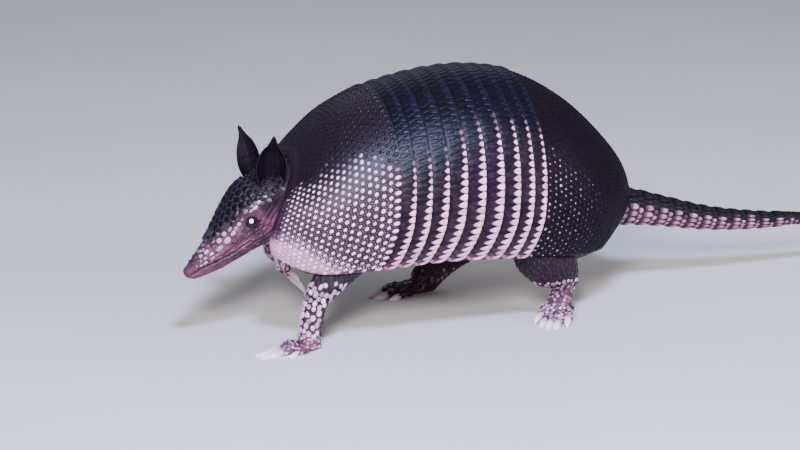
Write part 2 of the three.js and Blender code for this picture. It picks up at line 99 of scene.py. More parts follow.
HEAD_ROWS = (
    (-246, 60, -42, 6.8, 6.5, 6.5),
    (-239, 64, -44, 9, 9.5, 9),
    (-230, 70, -46, 11, 12.5, 12.5),
    (-216, 82, -47, 15, 17, 18),
    (-203, 98, -46, 20.5, 20.5, 28),
    (-190, 111, -40, 25, 24, 37),
    (-177, 117, -25, 29, 26, 42),
    (-165, 117, -12, 41, 30, 43),
    (-151, 113, -2, 55, 38, 46),
    (-140, 111, 4, 60, 50, 46),
)
TAIL_KEYS = ("z", "radius")
TAIL_ROWS = (
    (112, 82, 20), (131, 80.5, 18), (158, 77, 16.2), (196, 68.5, 13.2), (235, 59, 10.8),
    (298, 50, 7.7), (340, 47, 5.6), (396, 33, 4.2), (440, 14, 3.2), (470, 6, 1.8),
)

SHELL_FRONT, SHELL_REAR = -184.0, 136.0
BANDS = 9
BAND_EDGES = (-87.0, -73.0, -58.3, -43.0, -26.6, -10.0, 6.5, 21.0, 33.5, 44.5)
BAND_START, BAND_END = BAND_EDGES[0], BAND_EDGES[BANDS]
BAND_LIP, BAND_TUCK, BAND_SCALLOP = 1.6, -0.5, 0.035
PLATE, GAP, FLESH_UNDER_SHELL = 4.0, 0.3, 4.9
SINK = -0.35  # how far the feet of scales sink below the face
FLOOR_GAP = 0.2  # the soles' height over the floor
TRUNK_FRONT, TRUNK_REAR = -151.0, 120.7
NECK_REAR = -140.0
CROWN_FRONT, CROWN_REAR, CROWN_HALF_ANGLE, CROWN_THICKNESS = -222.0, -183.0, 54.0, 1.3
EYE_CENTRE, EYE_RADIUS = (-197.6, 18.3, 104.6), 4.6
EAR_ROOT = (-179.0, 17.0, 133.0)
TAIL_ROOT, TAIL_FRONT, TAIL_RINGS, TAIL_RINGS_REAR, TAIL_TIP = 112.0, 131.0, 12, 318.0, 470.0
TAIL_LIP = 1.4


class Track:
    """A smooth curve through stations: cubic Hermite pieces with averaged slopes."""

    def __init__(self, x: Sequence[float], y: Sequence[float]) -> None:
        """Keeps the stations and works out the slopes.

        Args:
            x: Places of the stations, rising.
            y: Values at the stations.
        """
        self.x = np.array(x, float)
        self.y = np.array(y, float)
        step = np.diff(self.x)
        rise = np.diff(self.y) / step
        slope = np.append(rise, 0.0)
        slope[1:-1] = (rise[:-1] * step[1:] + rise[1:] * step[:-1]) / (step[1:] + step[:-1])
        slope[0] = 1.5 * rise[0] - 0.5 * slope[1]
        slope[-1] = 1.5 * rise[-1] - 0.5 * slope[-2]
        self.slope = slope

    def __call__(self, u: Array) -> Array:
        """The curve's values at places u."""
        i = np.clip(np.searchsorted(self.x, u, side="right") - 1, 0, len(self.x) - 2)
        h = self.x[i + 1] - self.x[i]
        t = (u - self.x[i]) / h
        t2, t3 = t * t, t * t * t
        ends = (2 * t3 - 3 * t2 + 1) * self.y[i] + (3 * t2 - 2 * t3) * self.y[i + 1]
        return ends + ((t3 - 2 * t2 + t) * self.slope[i] + (t3 - t2) * self.slope[i + 1]) * h


def tracks(keys: Sequence[str], rows: Sequence[Sequence[float]]) -> dict[str, Track]:
    """One track for each named column of a table of stations."""
    x = [row[0] for row in rows]
    return {key: Track(x, [row[i + 1] for row in rows]) for i, key in enumerate(keys)}


def in_frame(x: Array, y: Array, z: Array) -> Array:
    """Points in millimetres of the stations, turned into metres of the shared frame."""
    x, y, z = np.broadcast_arrays(x, y, z)
    return beside(x - ORIGIN_X, y, z) * MM


def in_metres(points: Array) -> Array:
    """The same for an array of points, (..., 3)."""
    return in_frame(*np.moveaxis(points, -1, 0))


def in_stations(points: Array) -> Array:
    """Rows x, y and z, in millimetres of the stations, of points in metres."""
    return (points / MM).T + np.array([[ORIGIN_X], [0.0], [0.0]])


def beside(*parts: Array) -> Array:
    """The parts side by side along a new last axis."""
    return np.stack(parts, axis=-1)


def unit(way: Array) -> Array:
    """A direction at length 1."""
    return way / np.linalg.norm(way)


def tints(rng: Random, spread: float, count: int) -> Array:
    """Draws a tint from 0 to 1 for each of count scales."""
    return np.clip(rng.normal(0.5, spread, count), 0, 1)


def smooth(low: float, high: float, value: Array) -> Array:
    """A smooth step from 0 at low to 1 at high."""
    t = np.clip((value - low) / (high - low), 0.0, 1.0)
    return t * t * (3 - 2 * t)


def mix(a: Array, b: Array, t: Array) -> Array:
    """From a at t = 0 to b at t = 1."""
    return a + (b - a) * t


class ShellSurface:
    """The face of the bony shell: station u along X, share from -1 (left edge) over the top to +1."""

    track = tracks(SHELL_KEYS, SHELL_ROWS)
    belly = tracks(BELLY_KEYS, BELLY_ROWS)

    def at(self, u: Array, share: Array, out: Array) -> Array:
        """Points of the face, moved outwards by out millimetres."""
        value = {key: track(u) for key, track in self.track.items()}
        angle = np.radians(value["edge"]) * share
        height = np.where(np.cos(angle) > 0, value["top"], value["low"]) + out
        v = height * np.cos(angle)
        lean = np.radians(value["lean"])
        s2 = share * share
        forward = value["sweep"] * np.abs(share) ** 3 - value["lobe"] * 4 * s2 * np.maximum(0, 1 - s2)
        y = (value["width"] + out) * np.sin(angle)
        return in_frame(u + v * np.sin(lean) + forward, y, value["z"] + v * np.cos(lean))

    @cached_property
    def evenly(self) -> tuple[Array, Array]:
        """Stations, and at each one the shares that divide its arch into equal lengths."""
        stations = np.linspace(SHELL_FRONT, SHELL_REAR, 81)
        share = np.linspace(-1, 1, 241)
        rings = self.at(stations[:, None], share[None], 0.0)
        length = np.cumsum(np.linalg.norm(np.diff(rings, axis=1), axis=2), axis=1)
        length = np.hstack([np.zeros((len(stations), 1)), length]) / length[:, -1:]
        places = np.linspace(0, 1, len(share))
        return stations, np.array([np.interp(places, row, share) for row in length])

    def share(self, u: Array, x: Array) -> Array:
        """The share at which the part x, from 0 to 1, of the arch's length at station u is reached."""
        stations, table = self.evenly
        u, x = np.broadcast_arrays(np.asarray(u, float), x)
        i = np.clip((u - stations[0]) / (stations[1] - stations[0]), 0, len(stations) - 1.001)
        j = np.clip(x, 0, 1) * (table.shape[1] - 1.001)
        low, left = i.astype(int), j.astype(int)
        front = mix(table[low, left], table[low, left + 1], j - left)
        rear = mix(table[low + 1, left], table[low + 1, left + 1], j - left)
        return mix(front, rear, i - low)

    def body_ring(self, u: float, out: float, arch: int, under: int) -> Array:
        """A closed ring round the body: the arch, and the belly hanging under it."""
        share = np.linspace(-1, 1, arch)
        ring = self.at(np.full(arch, u), share, out)
        angle = np.pi * np.arange(1, under) / under
        blend = ((1 - np.cos(angle)) / 2)[:, None]
        below = ring[-1] + (ring[0] - ring[-1]) * blend
        below[:, 2] -= self.belly["depth"](np.array(u)) * np.sin(angle) ** 0.8 * MM
        return np.vstack([ring, below])


class HeadSurface:
    """The head and neck: station u along X, angle in degrees from the top, positive to the right."""

    track = tracks(HEAD_KEYS, HEAD_ROWS)

    def at(self, u: Array, degrees: Array, out: Array) -> Array:
        """Points of the face, moved outwards by out millimetres."""
        value = {key: track(u) for key, track in self.track.items()}
        angle = np.radians(degrees)
        height = np.where(np.cos(angle) > 0, value["top"], value["low"]) + out
        v = height * np.cos(angle)
        lean = np.radians(value["lean"])
        y = (value["width"] + out) * np.sin(angle)
        return in_frame(u + v * np.sin(lean), y, value["z"] + v * np.cos(lean))


class TailSurface:
    """The tail: station u along X, turn in degrees from the top, positive to the right."""

    track = tracks(TAIL_KEYS, TAIL_ROWS)

    def at(self, u: Array, degrees: Array, out: Array) -> Array:
        """Points of the face, moved outwards by out millimetres."""
        slope = (self.track["z"](u + 1) - self.track["z"](u - 1)) / 2
        lean = np.arctan(slope)
        angle = np.radians(degrees)
        r = self.track["radius"](u) + out
        up = r * np.cos(angle)
        return in_frame(u - up * np.sin(lean), r * np.sin(angle), self.track["z"](u) + up * np.cos(lean))


SHELL = ShellSurface()
HEAD = HeadSurface()
TAIL = TailSurface()


# ---- modelling bench


class Bench:
    """The few moves by which pieces are modelled."""

    @staticmethod
    def deselect() -> None:
        """Leaves edit mode and selects nothing."""
        if bpy.context.object and bpy.context.object.mode != "OBJECT":
            bpy.ops.object.mode_set(mode="OBJECT")
        bpy.ops.object.select_all(action="DESELECT")

    @staticmethod
    def take(piece: Piece) -> None:
        """Selects one piece alone and makes it active."""
        Bench.deselect()
        piece.select_set(True)
        bpy.context.view_layer.objects.active = piece

    @staticmethod
    def modifier(piece: Piece, kind: str, **values: object) -> None:
        """Adds a modifier with the given values and applies it.

        Args:
            piece: The piece that it works on.
            kind: Blender's name for the kind of modifier.
            values: The modifier's own settings.
        """
        Bench.take(piece)
        made = piece.modifiers.new(kind.title(), kind)
        for key, value in values.items():
            setattr(made, key, value)
        bpy.ops.object.modifier_apply(modifier=made.name)

    @staticmethod
    def edit() -> Piece:
        """Opens the active piece in edit mode with all of it selected, and returns it."""
        bpy.ops.object.mode_set(mode="EDIT")
        bpy.ops.mesh.select_all(action="SELECT")
        return bpy.context.object

    @staticmethod
    def close() -> None:
        """Leaves edit mode."""
        bpy.ops.object.mode_set(mode="OBJECT")

    @staticmethod
    def join(pieces: list[Piece], name: str) -> Piece:
        """Joins pieces.

        Args:
            pieces: What is joined.
            name: The whole's name.

        Returns:
            The whole.
        """
        Bench.take(pieces[0])
        for piece in pieces:
            piece.select_set(True)
        bpy.ops.object.join()
        pieces[0].name = name
        return pieces[0]

    @staticmethod
    def read(items: object, key: str, width: int = 3, kind: type = float) -> Array:
        """Reads a property of all vertices, faces or corners.

        Args:
            items: The vertices, faces or corners.
            key: The property.
            width: How many numbers it has.
            kind: Their type.

        Returns:
            A row for each, or a number where width is 1.
        """
        values = np.empty(len(items) * width, kind)
        items.foreach_get(key, values)
        return values.reshape(-1, width) if width > 1 else values

    @staticmethod
    def points(piece: Piece) -> Array:
        """The piece's vertices."""
        return Bench.read(piece.data.vertices, "co")

    @staticmethod
    def move(piece: Piece, points: Array) -> None:
        """Puts the piece's vertices where points says."""
        piece.data.vertices.foreach_set("co", np.ascontiguousarray(points, float).ravel())
        piece.data.update()

    @staticmethod
    def write(piece: Piece, name: str, values: Array) -> None:
        """Stores one number for each vertex."""
        made = piece.data.attributes.new(name, "FLOAT", "POINT")
        made.data.foreach_set("value", np.ascontiguousarray(values, np.float32))

    @staticmethod
    def outwards(piece: Piece) -> None:
        """Turns all faces outwards."""
        Bench.take(piece)
        Bench.edit()
        bpy.ops.mesh.normals_make_consistent(inside=False)
        Bench.close()

    @staticmethod
    def shade(piece: Piece, degrees: float = 50.0) -> None:
        """Shades the piece smooth, with edges sharper than the angle kept."""
        Bench.take(piece)
        bpy.ops.object.shade_smooth_by_angle(angle=math.radians(degrees))


@dataclass
class Form:
    """A mesh held as plain arrays, to be repeated or joined.

    Args:
        points: One row for each vertex.
        corners: The vertex of each corner of each face, in order.
        sizes: The number of corners of each face.
        crest: For each vertex, 0 in a groove to 1 on top of a scale.
    """

    points: Array
    corners: Array
    sizes: Array
    crest: Array

    @classmethod
    def taken(cls, piece: Piece, crest: Callable[[Array], Array]) -> "Form":
        """The form of a modelled piece, which is then removed.

        Args:
            piece: The modelled piece.
            crest: Gives each vertex's crest from the points.

        Returns:
            The piece's form.
        """
        Bench.deselect()
        mesh = piece.data
        corners = Bench.read(mesh.loops, "vertex_index", 1, np.int64)
        sizes = Bench.read(mesh.polygons, "loop_total", 1, np.int64)
        points = Bench.points(piece)
        bpy.data.objects.remove(piece)
        bpy.data.meshes.remove(mesh)
        return cls(points, corners, sizes, crest(points))

    def faces_for(self, points: Array) -> tuple[Array, Array]:
        """The faces, turned over where the copies' places would leave them inside out.

        Args:
            points: Places of the copies' vertices, (copies, vertices, 3).

        Returns:
            The faces' corners and their sizes.
        """
        ends = np.cumsum(self.sizes)
        after = np.arange(len(self.corners)) + 1
        after[ends - 1] = ends - self.sizes
        first = np.repeat(self.corners[ends - self.sizes], self.sizes)
        a, b, c = (points[:, i] - points[:, :1] for i in (first, self.corners, self.corners[after]))
        step = 1 if (a * np.cross(b, c)).sum() > 0 else -1
        return self.corners[::step], self.sizes[::step]


class Coat:
    """Many forms gathered into one mesh, with what its paint reads: crest, pale and tone."""

    def __init__(self) -> None:
        """Starts with nothing gathered."""
        self.count = 0
        self.parts: dict[str, list[Array]] = {
            key: [] for key in ("points", "corners", "sizes", "crest", "pale", "tone", "map")
        }

    def add(self, form: Form, points: Array, pale: Array | float, tone: Array | float, flat: Array) -> None:
        """Adds copies of a form.

        Args:
            form: The form that is repeated.
            points: Its vertices' places, (copies, vertices, 3), in metres.
            pale: 0 dark to 1 pale, for all, for each copy or for each vertex of each copy.
            tone: The same, for a tint of its own.
            flat: Its vertices' places on the piece's map, (copies, vertices, 2).
        """
        copies, n = points.shape[:2]
        shift = self.count + n * np.arange(copies)[:, None]
        corners, sizes = form.faces_for(points)
        self.parts["points"].append(points.reshape(-1, 3))
        self.parts["corners"].append((corners[None, :] + shift).ravel())
        self.parts["sizes"].append(np.tile(sizes, copies))
        self.parts["crest"].append(np.tile(form.crest, copies))
        for key, value in (("pale", pale), ("tone", tone)):
            value = np.asarray(value, float)
            whole = value if value.ndim == 2 else np.broadcast_to(value.reshape(-1, 1), (copies, n))
            self.parts[key].append(whole.ravel())
        self.parts["map"].append(flat.reshape(-1, 2))
        self.count += copies * n

    def piece(self, name: str, degrees: float = 50.0) -> Piece:
        """Makes the gathered forms one piece.

        Args:
            name: The piece's name.
            degrees: Edges sharper than this stay sharp.

        Returns:
            The new piece.
        """
        whole = {key: np.concatenate(value) for key, value in self.parts.items()}
        sizes = whole["sizes"]
        mesh = bpy.data.meshes.new(name)
        mesh.vertices.add(len(whole["points"]))
        mesh.vertices.foreach_set("co", whole["points"].ravel())
        mesh.loops.add(len(whole["corners"]))
        mesh.loops.foreach_set("vertex_index", whole["corners"])
        mesh.polygons.add(len(sizes))
        mesh.polygons.foreach_set("loop_start", np.cumsum(sizes) - sizes)
        mesh.update(calc_edges=True)
        made = bpy.data.objects.new(name, mesh)
        bpy.context.scene.collection.objects.link(made)
        for key in ("crest", "pale", "tone"):
            Bench.write(made, key, whole[key])
        layer = mesh.uv_layers.new(name="OFBake")
        layer.data.foreach_set("uv", whole["map"][whole["corners"]].ravel())
        Bench.shade(made, degrees)
        return made


class Forms:
    """The small shapes that the coat repeats, each modelled once."""

    @staticmethod
    def dome(sides: int, rise: float, rings: int = 2, skirt: float = 0.35) -> Form:
        """A low round scale of radius 1, closed below.

        Args:
            sides: Corners of its outline.
            rise: Height of its top.
            rings: Steps between its foot and its top.
            skirt: How deep its foot goes below the face.

        Returns:
            The form, with crest 0 at its foot and 1 on top.
        """
        Bench.deselect()
        bpy.ops.mesh.primitive_circle_add(vertices=sides, radius=1.0, fill_type="NGON")
        piece = Bench.edit()
        low = -skirt
        for step in range(1, rings + 1):
            angle = 0.5 * math.pi * step / (rings + 0.6)
            high = rise * math.sin(angle)
            bpy.ops.mesh.extrude_region_move(TRANSFORM_OT_translate={"value": (0, 0, high - low)})
            shrink = math.cos(angle) / math.cos(0.5 * math.pi * (step - 1) / (rings + 0.6))
            bpy.ops.transform.resize(value=(shrink, shrink, 1))
            low = high
        Bench.close()
        points = Bench.points(piece)
        points[:, 2] -= skirt
        Bench.move(piece, points)
        Bench.outwards(piece)
        return Form.taken(piece, lambda p: np.clip(p[:, 2] / rise, 0, 1))

    @staticmethod
    def tooth(half: float, length: float, rise: float) -> Form:
        """A long three-cornered scale with rounded corners: its base at x = 0, its point at x = -length.

        Args:
            half: Half of its base.
            length: From its base to its point.
            rise: Height of its top.

        Returns:
            The form, with crest 0 at its foot and 1 on top.
        """
        Bench.deselect()
        bpy.ops.mesh.primitive_circle_add(vertices=3, radius=1.0, fill_type="NGON")
        piece = bpy.context.object
        Bench.move(piece, np.array([(0, -half, 0), (0, half, 0), (-length, 0, 0)], float))
        Bench.edit()
        bpy.ops.mesh.bevel(offset=half * 0.62, segments=3, affect="VERTICES")
        bpy.ops.mesh.select_all(action="SELECT")
        for step, shrink in ((0.55, 1.0), (0.3, 0.84), (0.15, 0.62)):
            bpy.ops.mesh.extrude_region_move(TRANSFORM_OT_translate={"value": (0, 0, rise * step)})
            bpy.ops.transform.resize(value=(shrink, shrink, 1))
        Bench.close()
        points = Bench.points(piece)
        points[:, 2] = np.where(points[:, 2] < 1e-6, -0.35, points[:, 2])
        Bench.move(piece, points)
        Bench.outwards(piece)
        return Form.taken(piece, lambda p: np.clip(p[:, 2] / rise, 0, 1))

    @staticmethod
    def slab(across: int, along: int) -> Form:
        """A closed plate over the unit square, its face at z = 1 and its underside at z = 0."""
        Bench.deselect()
        bpy.ops.mesh.primitive_grid_add(x_subdivisions=across, y_subdivisions=along, size=1)
        piece = Bench.edit()
        bpy.ops.mesh.extrude_region_move(TRANSFORM_OT_translate={"value": (0, 0, 1)})
        Bench.close()
        points = Bench.points(piece)
        points += np.array([0.5, 0.5, -points[:, 2].min()])
        Bench.move(piece, points)
        Bench.outwards(piece)
        return Form.taken(piece, lambda p: np.zeros(len(p)))


# ---- finishes


class Paint:
    """Builds one procedural material, node by node."""

    def __init__(self, name: str) -> None:
        """Starts a material with its shader alone.

        Args:
            name: The material's name.
        """
        self.material = bpy.data.materials.new(name)
        self.material.use_nodes = True
        self.tree = self.material.node_tree
        self.shader = self.tree.nodes["Principled BSDF"]

    def node(self, kind: str, inputs: dict[str | int, object], **values: object) -> bpy.types.Node:
        """Adds a node.

        Args:
            kind: The node's type.
            inputs: What each input gets: a number, a colour or another node's output.
            values: The node's own settings.

        Returns:
            The new node.
        """
        made = self.tree.nodes.new(kind)
        for key, value in values.items():
            setattr(made, key, value)
        for key, value in inputs.items():
            if isinstance(value, Socket):
                self.tree.links.new(value, made.inputs[key])
            else:
                made.inputs[key].default_value = value
        return made

    def place(self) -> Socket:
        """The piece's own coordinates."""
        return self.node("ShaderNodeTexCoord", {}).outputs["Object"]

    def attribute(self, name: str) -> Socket:
        """A number that the mesh carries."""
        return self.node("ShaderNodeAttribute", {}, attribute_name=name).outputs["Fac"]

    def noise(self, scale: float, detail: float = 3.0) -> Socket:
        """Cloudy noise from 0 to 1, scale in cells per metre."""
        inputs = {"Vector": self.place(), "Scale": scale, "Detail": detail, "Roughness": 0.55}
        return self.node("ShaderNodeTexNoise", inputs).outputs["Fac"]

    def cells(self, scale: float) -> Socket:
        """Distance from the middles of a pattern of cells, scale in cells per metre."""
        return self.node("ShaderNodeTexVoronoi", {"Vector": self.place(), "Scale": scale}).outputs["Distance"]

    def maths(self, kind: str, a: object, b: object) -> Socket:
        """A sum of two numbers of the given kind."""
        return self.node("ShaderNodeMath", {0: a, 1: b}, operation=kind).outputs[0]

    def between(
        self, value: object, low: float, high: float, to: tuple[float, float] = (0, 1)
    ) -> Socket:
        """Maps a range onto another one, smoothly and clamped."""
        inputs = {"Value": value, "From Min": low, "From Max": high, "To Min": to[0], "To Max": to[1]}
        return self.node("ShaderNodeMapRange", inputs, interpolation_type="SMOOTHSTEP").outputs["Result"]

    def blend(self, share: object, a: object, b: object) -> Socket:
        """Mixes two colours."""
        a, b = ((*c, 1.0) if isinstance(c, tuple) else c for c in (a, b))
        return self.node("ShaderNodeMix", {0: share, 6: a, 7: b}, data_type="RGBA").outputs[2]

    def scaled(self, colour: Socket, a: object, b: object) -> Socket:
        """A colour times two numbers."""
        inputs = {0: colour, "Scale": self.maths("MULTIPLY", a, b)}
        return self.node("ShaderNodeVectorMath", inputs, operation="SCALE").outputs[0]

    def bump(self, height: object, depth: float) -> None:
        """Adds relief under the relief that is there already.

        Args:
            height: A number from 0 to 1.
            depth: What 1 stands for, in metres.
        """
        inputs = {"Height": height, "Distance": depth, "Strength": 1.0}
        old = self.shader.inputs["Normal"].links
        if old:
            inputs["Normal"] = old[0].from_socket
        out = self.node("ShaderNodeBump", inputs).outputs["Normal"]
        self.tree.links.new(out, self.shader.inputs["Normal"])

    def finish(self, colour: object, rough: object, **constants: float) -> bpy.types.Material:
        """Plugs in the colour and roughness.

        Args:
            colour: The base colour.
            rough: The roughness.
            constants: Other inputs of the shader, with spaces as underscores.

        Returns:
            The finished material.
        """
        for key, value in (("Base Color", colour), ("Roughness", rough)):
            if isinstance(value, Socket):
                self.tree.links.new(value, self.shader.inputs[key])
            else:
                self.shader.inputs[key].default_value = (*value, 1.0) if isinstance(value, tuple) else value
        for key, value in constants.items():
            self.shader.inputs[key.replace("_", " ")].default_value = value
        return self.material


@dataclass(frozen=True)
class ScaleFinish:
    """Horny scales over a darker ground, coloured by the mesh's crest, pale and tone.

    Args:
        name: The material's name.
        dark_ground, dark_crest: Colours where the piece is dark.
        pale_ground, pale_crest: Colours where it is pale.
        bare: Colour of the ground where pale goes on to 2.
        rough_dark, rough_pale: Roughness of both.
        grain: Depth of the fine relief, in metres.
        shine: Level of the gloss.
        crest_from, crest_to: Between which heights, as a share, the crest colour comes in.
    """

    name: str
    dark_ground: Colour
    dark_crest: Colour
    pale_ground: Colour
    pale_crest: Colour
    bare: Colour = (0.52, 0.31, 0.40)
    rough_dark: float = 0.36
    rough_pale: float = 0.5
    grain: float = 0.00012
    shine: float = 0.22
    crest_from: float = 0.25
    crest_to: float = 0.85

    def made(self) -> bpy.types.Material:
        """Builds the material.

        Returns:
            The finished material.
        """
        paint = Paint(self.name)
        cloud = paint.noise(140, 4)
        fine = paint.noise(1500, 3)
        crest = paint.between(paint.attribute("crest"), self.crest_from, self.crest_to)
        pale = paint.maths("ADD", paint.attribute("pale"), paint.between(cloud, 0.3, 0.7, (-0.07, 0.07)))
        bare = paint.between(pale, 1.0, 2.0)
        pale = paint.between(pale, 0.05, 0.95)
        dark = paint.blend(crest, self.dark_ground, self.dark_crest)
        light = paint.blend(crest, paint.blend(bare, self.pale_ground, self.bare), self.pale_crest)
        colour = paint.blend(pale, dark, light)
        tint = paint.between(paint.attribute("tone"), 0.0, 1.0, (0.72, 1.22))
        speck = paint.between(fine, 0.3, 0.7, (0.86, 1.12))
        colour = paint.scaled(colour, tint, speck)
        rough = paint.maths("ADD", paint.between(pale, 0, 1, (self.rough_dark, self.rough_pale)),
                            paint.between(fine, 0.3, 0.7, (-0.06, 0.1)))
        paint.bump(fine, self.grain)
        paint.bump(paint.noise(420, 4), self.grain * 2)
        return paint.finish(colour, rough, Specular_IOR_Level=self.shine)


@dataclass(frozen=True)
class SkinFinish:
    """Bare hide, coloured by the mesh's pale (pink) and crest (painted shade in the creases and round the
    eyes).

    Args:
        name: The material's name.
        dark, pale, crease: Colours of dark hide, of pink hide and of the painted shade in the creases.
        shine: Level of the gloss.
    """

    name: str
    dark: Colour
    pale: Colour
    crease: Colour
    shine: float = 0.3

    def made(self) -> bpy.types.Material:
        """Builds the material.

        Returns:
            The finished material.
        """
        paint = Paint(self.name)
        cloud = paint.noise(90, 5)
        fine = paint.noise(900, 4)
        pebble = paint.cells(620)
        pale = paint.maths("ADD", paint.attribute("pale"), paint.between(cloud, 0.3, 0.7, (-0.16, 0.16)))
        colour = paint.blend(paint.between(pale, 0, 1), self.dark, self.pale)
        # Painted shade: the crest darkens the creases, the folds and the rings round the eyes.
        colour = paint.blend(paint.between(paint.attribute("crest"), 0.0, 1.0), colour, self.crease)
        speck = paint.between(pebble, 0.1, 0.6, (1.18, 0.8))
        colour = paint.scaled(colour, speck, paint.between(fine, 0.3, 0.7, (0.85, 1.15)))
        paint.bump(paint.maths("SUBTRACT", 1.0, pebble), 0.00030)
        paint.bump(paint.noise(260, 5), 0.0004)
        rough = paint.between(fine, 0.3, 0.7, (0.48, 0.66))
        return paint.finish(colour, rough, Specular_IOR_Level=self.shine)


@dataclass(frozen=True)
class HornFinish:
    """A claw: pale horn, darker at its root, with fine ridges along it."""

    name: str
    root: Colour
    tip: Colour

    def made(self) -> bpy.types.Material:
        """Builds the material.

        Returns:
            The finished material.
        """
        paint = Paint(self.name)
        share = paint.attribute("pale")
        streak = paint.noise(800, 4)
        colour = paint.blend(paint.between(share, 0, 1), self.root, self.tip)
        colour = paint.blend(paint.between(streak, 0.45, 0.7, (0, 0.35)), colour, self.root)
        paint.bump(paint.noise(1200, 3), 0.0001)
        return paint.finish(colour, paint.between(streak, 0.3, 0.7, (0.28, 0.45)), Specular_IOR_Level=0.5)


@dataclass(frozen=True)
class EyeFinish:
    """A wet black eye with painted eyeshine: its pupil is painted white and glows though it is no lamp."""

    name: str
    iris: Colour
    # Colour of the painted eyeshine on the pupil.
    shine: Colour

    def made(self) -> bpy.types.Material:
        """Builds the material.

        Returns:
            The finished material.
        """
        paint = Paint(self.name)
        share = paint.between(paint.attribute("pale"), 0.45, 0.55)
        # Painted eyeshine: the pupil takes the white colour.
        colour = paint.blend(share, self.iris, self.shine)
        colour = paint.blend(paint.between(paint.noise(700), 0.4, 0.7, (0, 0.12)), colour, self.iris)
        # Painted eyeshine: the white pupil glows of its own.
        painted_eyeshine_glow = paint.between(paint.attribute("pale"), 0.45, 0.6, (0.0, 0.9))
        paint.tree.links.new(colour, paint.shader.inputs["Emission Color"])
        paint.tree.links.new(painted_eyeshine_glow, paint.shader.inputs["Emission Strength"])
        return paint.finish(colour, 0.16, Specular_IOR_Level=0.3, Coat_Weight=0.25, Coat_Roughness=0.03)


@dataclass(frozen=True)
class FloorFinish:
    """A plain pale floor."""

    name: str
    colour: Colour

    def made(self) -> bpy.types.Material:
        """Builds the material.

        Returns:
            The finished material.
        """
        paint = Paint(self.name)
        colour = paint.blend(paint.between(paint.noise(3, 4), 0.3, 0.7), self.colour,
                             tuple(c * 0.96 for c in self.colour))
        return paint.finish(colour, 0.8, Specular_IOR_Level=0.2)


SHIELD_LOOK = ScaleFinish(
    "shield_scutes", (0.012, 0.006, 0.013), (0.003, 0.002, 0.004), (0.060, 0.020, 0.046), (0.88, 0.56, 0.73),
    bare=(0.55, 0.25, 0.34), rough_dark=0.34, rough_pale=0.36, shine=0.20
)
HIP_LOOK = ScaleFinish(
    "hip_scutes", (0.006, 0.003, 0.006), (0.003, 0.0015, 0.0035), (0.060, 0.022, 0.048), (0.58, 0.38, 0.51),
    rough_dark=0.42, shine=0.10
)
# The faint blue of the dark crest colour is a painted sheen.
BAND_LOOK = ScaleFinish(
    "band_scutes", (0.004, 0.003, 0.007), (0.007, 0.006, 0.016), (0.105, 0.036, 0.070), (0.76, 0.44, 0.56),
    bare=(0.56, 0.28, 0.36), rough_dark=0.28, rough_pale=0.42, shine=0.12
)
CROWN_LOOK = ScaleFinish(
    "crown_plates", (0.036, 0.025, 0.038), (0.004, 0.003, 0.006), (0.10, 0.05, 0.08), (0.37, 0.25, 0.39),
    rough_dark=0.32, shine=0.16, crest_from=0.05, crest_to=0.45
)
TAIL_LOOK = ScaleFinish(
    "tail_scales", (0.006, 0.004, 0.006), (0.011, 0.008, 0.011), (0.085, 0.028, 0.055), (0.44, 0.22, 0.33),
    shine=0.16
)
HIDE_LOOK = ScaleFinish(
    "hide_scales", (0.008, 0.003, 0.007), (0.020, 0.009, 0.018), (0.28, 0.11, 0.21), (0.78, 0.49, 0.68),
    crest_from=0.0, crest_to=0.6
)
# The third colour of the hide is its painted crease shade.
SKIN_LOOK = SkinFinish("hide", (0.013, 0.005, 0.011), (0.29, 0.092, 0.170), (0.010, 0.003, 0.007), 0.20)
EAR_LOOK = SkinFinish(
    "ear_hide", (0.0045, 0.0022, 0.0045), (0.028, 0.012, 0.022), (0.003, 0.002, 0.003), 0.08
)
CLAW_LOOK = HornFinish("claw_horn", (0.54, 0.34, 0.41), (0.88, 0.73, 0.75))
# The pupil's white is a painted eyeshine that glows.
EYE_LOOK = EyeFinish("eye_wet", (0.003, 0.002, 0.003), (0.95, 0.93, 0.97))
FLOOR_LOOK = FloorFinish("floor", (0.66, 0.64, 0.62))


# ---- shell


def dressed(piece: Piece, look: object, slot: str, *nodes: str) -> Piece:
    """Gives a piece its finish and its body, and hides the nodes that it stands for.

    Args:
        piece: The finished piece.
        look: The finish.
        slot: The record's slot; not used.
        nodes: The nodes that the piece replaces.

    Returns:
        The same piece.
    """
    name = look.name
    material = bpy.data.materials.get(name) or look.made()
    piece.data.materials.clear()
    piece.data.materials.append(material)
    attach(piece, ROOT)
    if nodes:
        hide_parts(*nodes)
    log.info("%s: %d faces", piece.name, len(piece.data.polygons))
    return piece


# Share of the arch where the pale flank begins, at stations along the shell.
PALE_LINE = (
    (-184, 0.45), (-160, 0.44), (-135, 0.41), (-115, 0.44), (-100, 0.49), (-87, 0.52), (-66, 0.53),
    (-50, 0.51), (-35, 0.46), (-18, 0.42), (-2, 0.42), (14, 0.41), (27, 0.42), (39, 0.44), (50, 0.47),
    (65, 0.50), (85, 0.56), (136, 0.6),
)


def pale_line(u: Array) -> Array:
    """Share of the arch where the pale flank begins, at station u."""
    return np.interp(u, *np.transpose(PALE_LINE))


# Places of the small bumps between the round scutes, in columns and rows from each scute's middle.
ROUND_A_SCUTE = ((0.5, 1 / 3), (0.0, 2 / 3), (0.5, 0.0), (0.25, 0.5), (-0.25, 0.5))


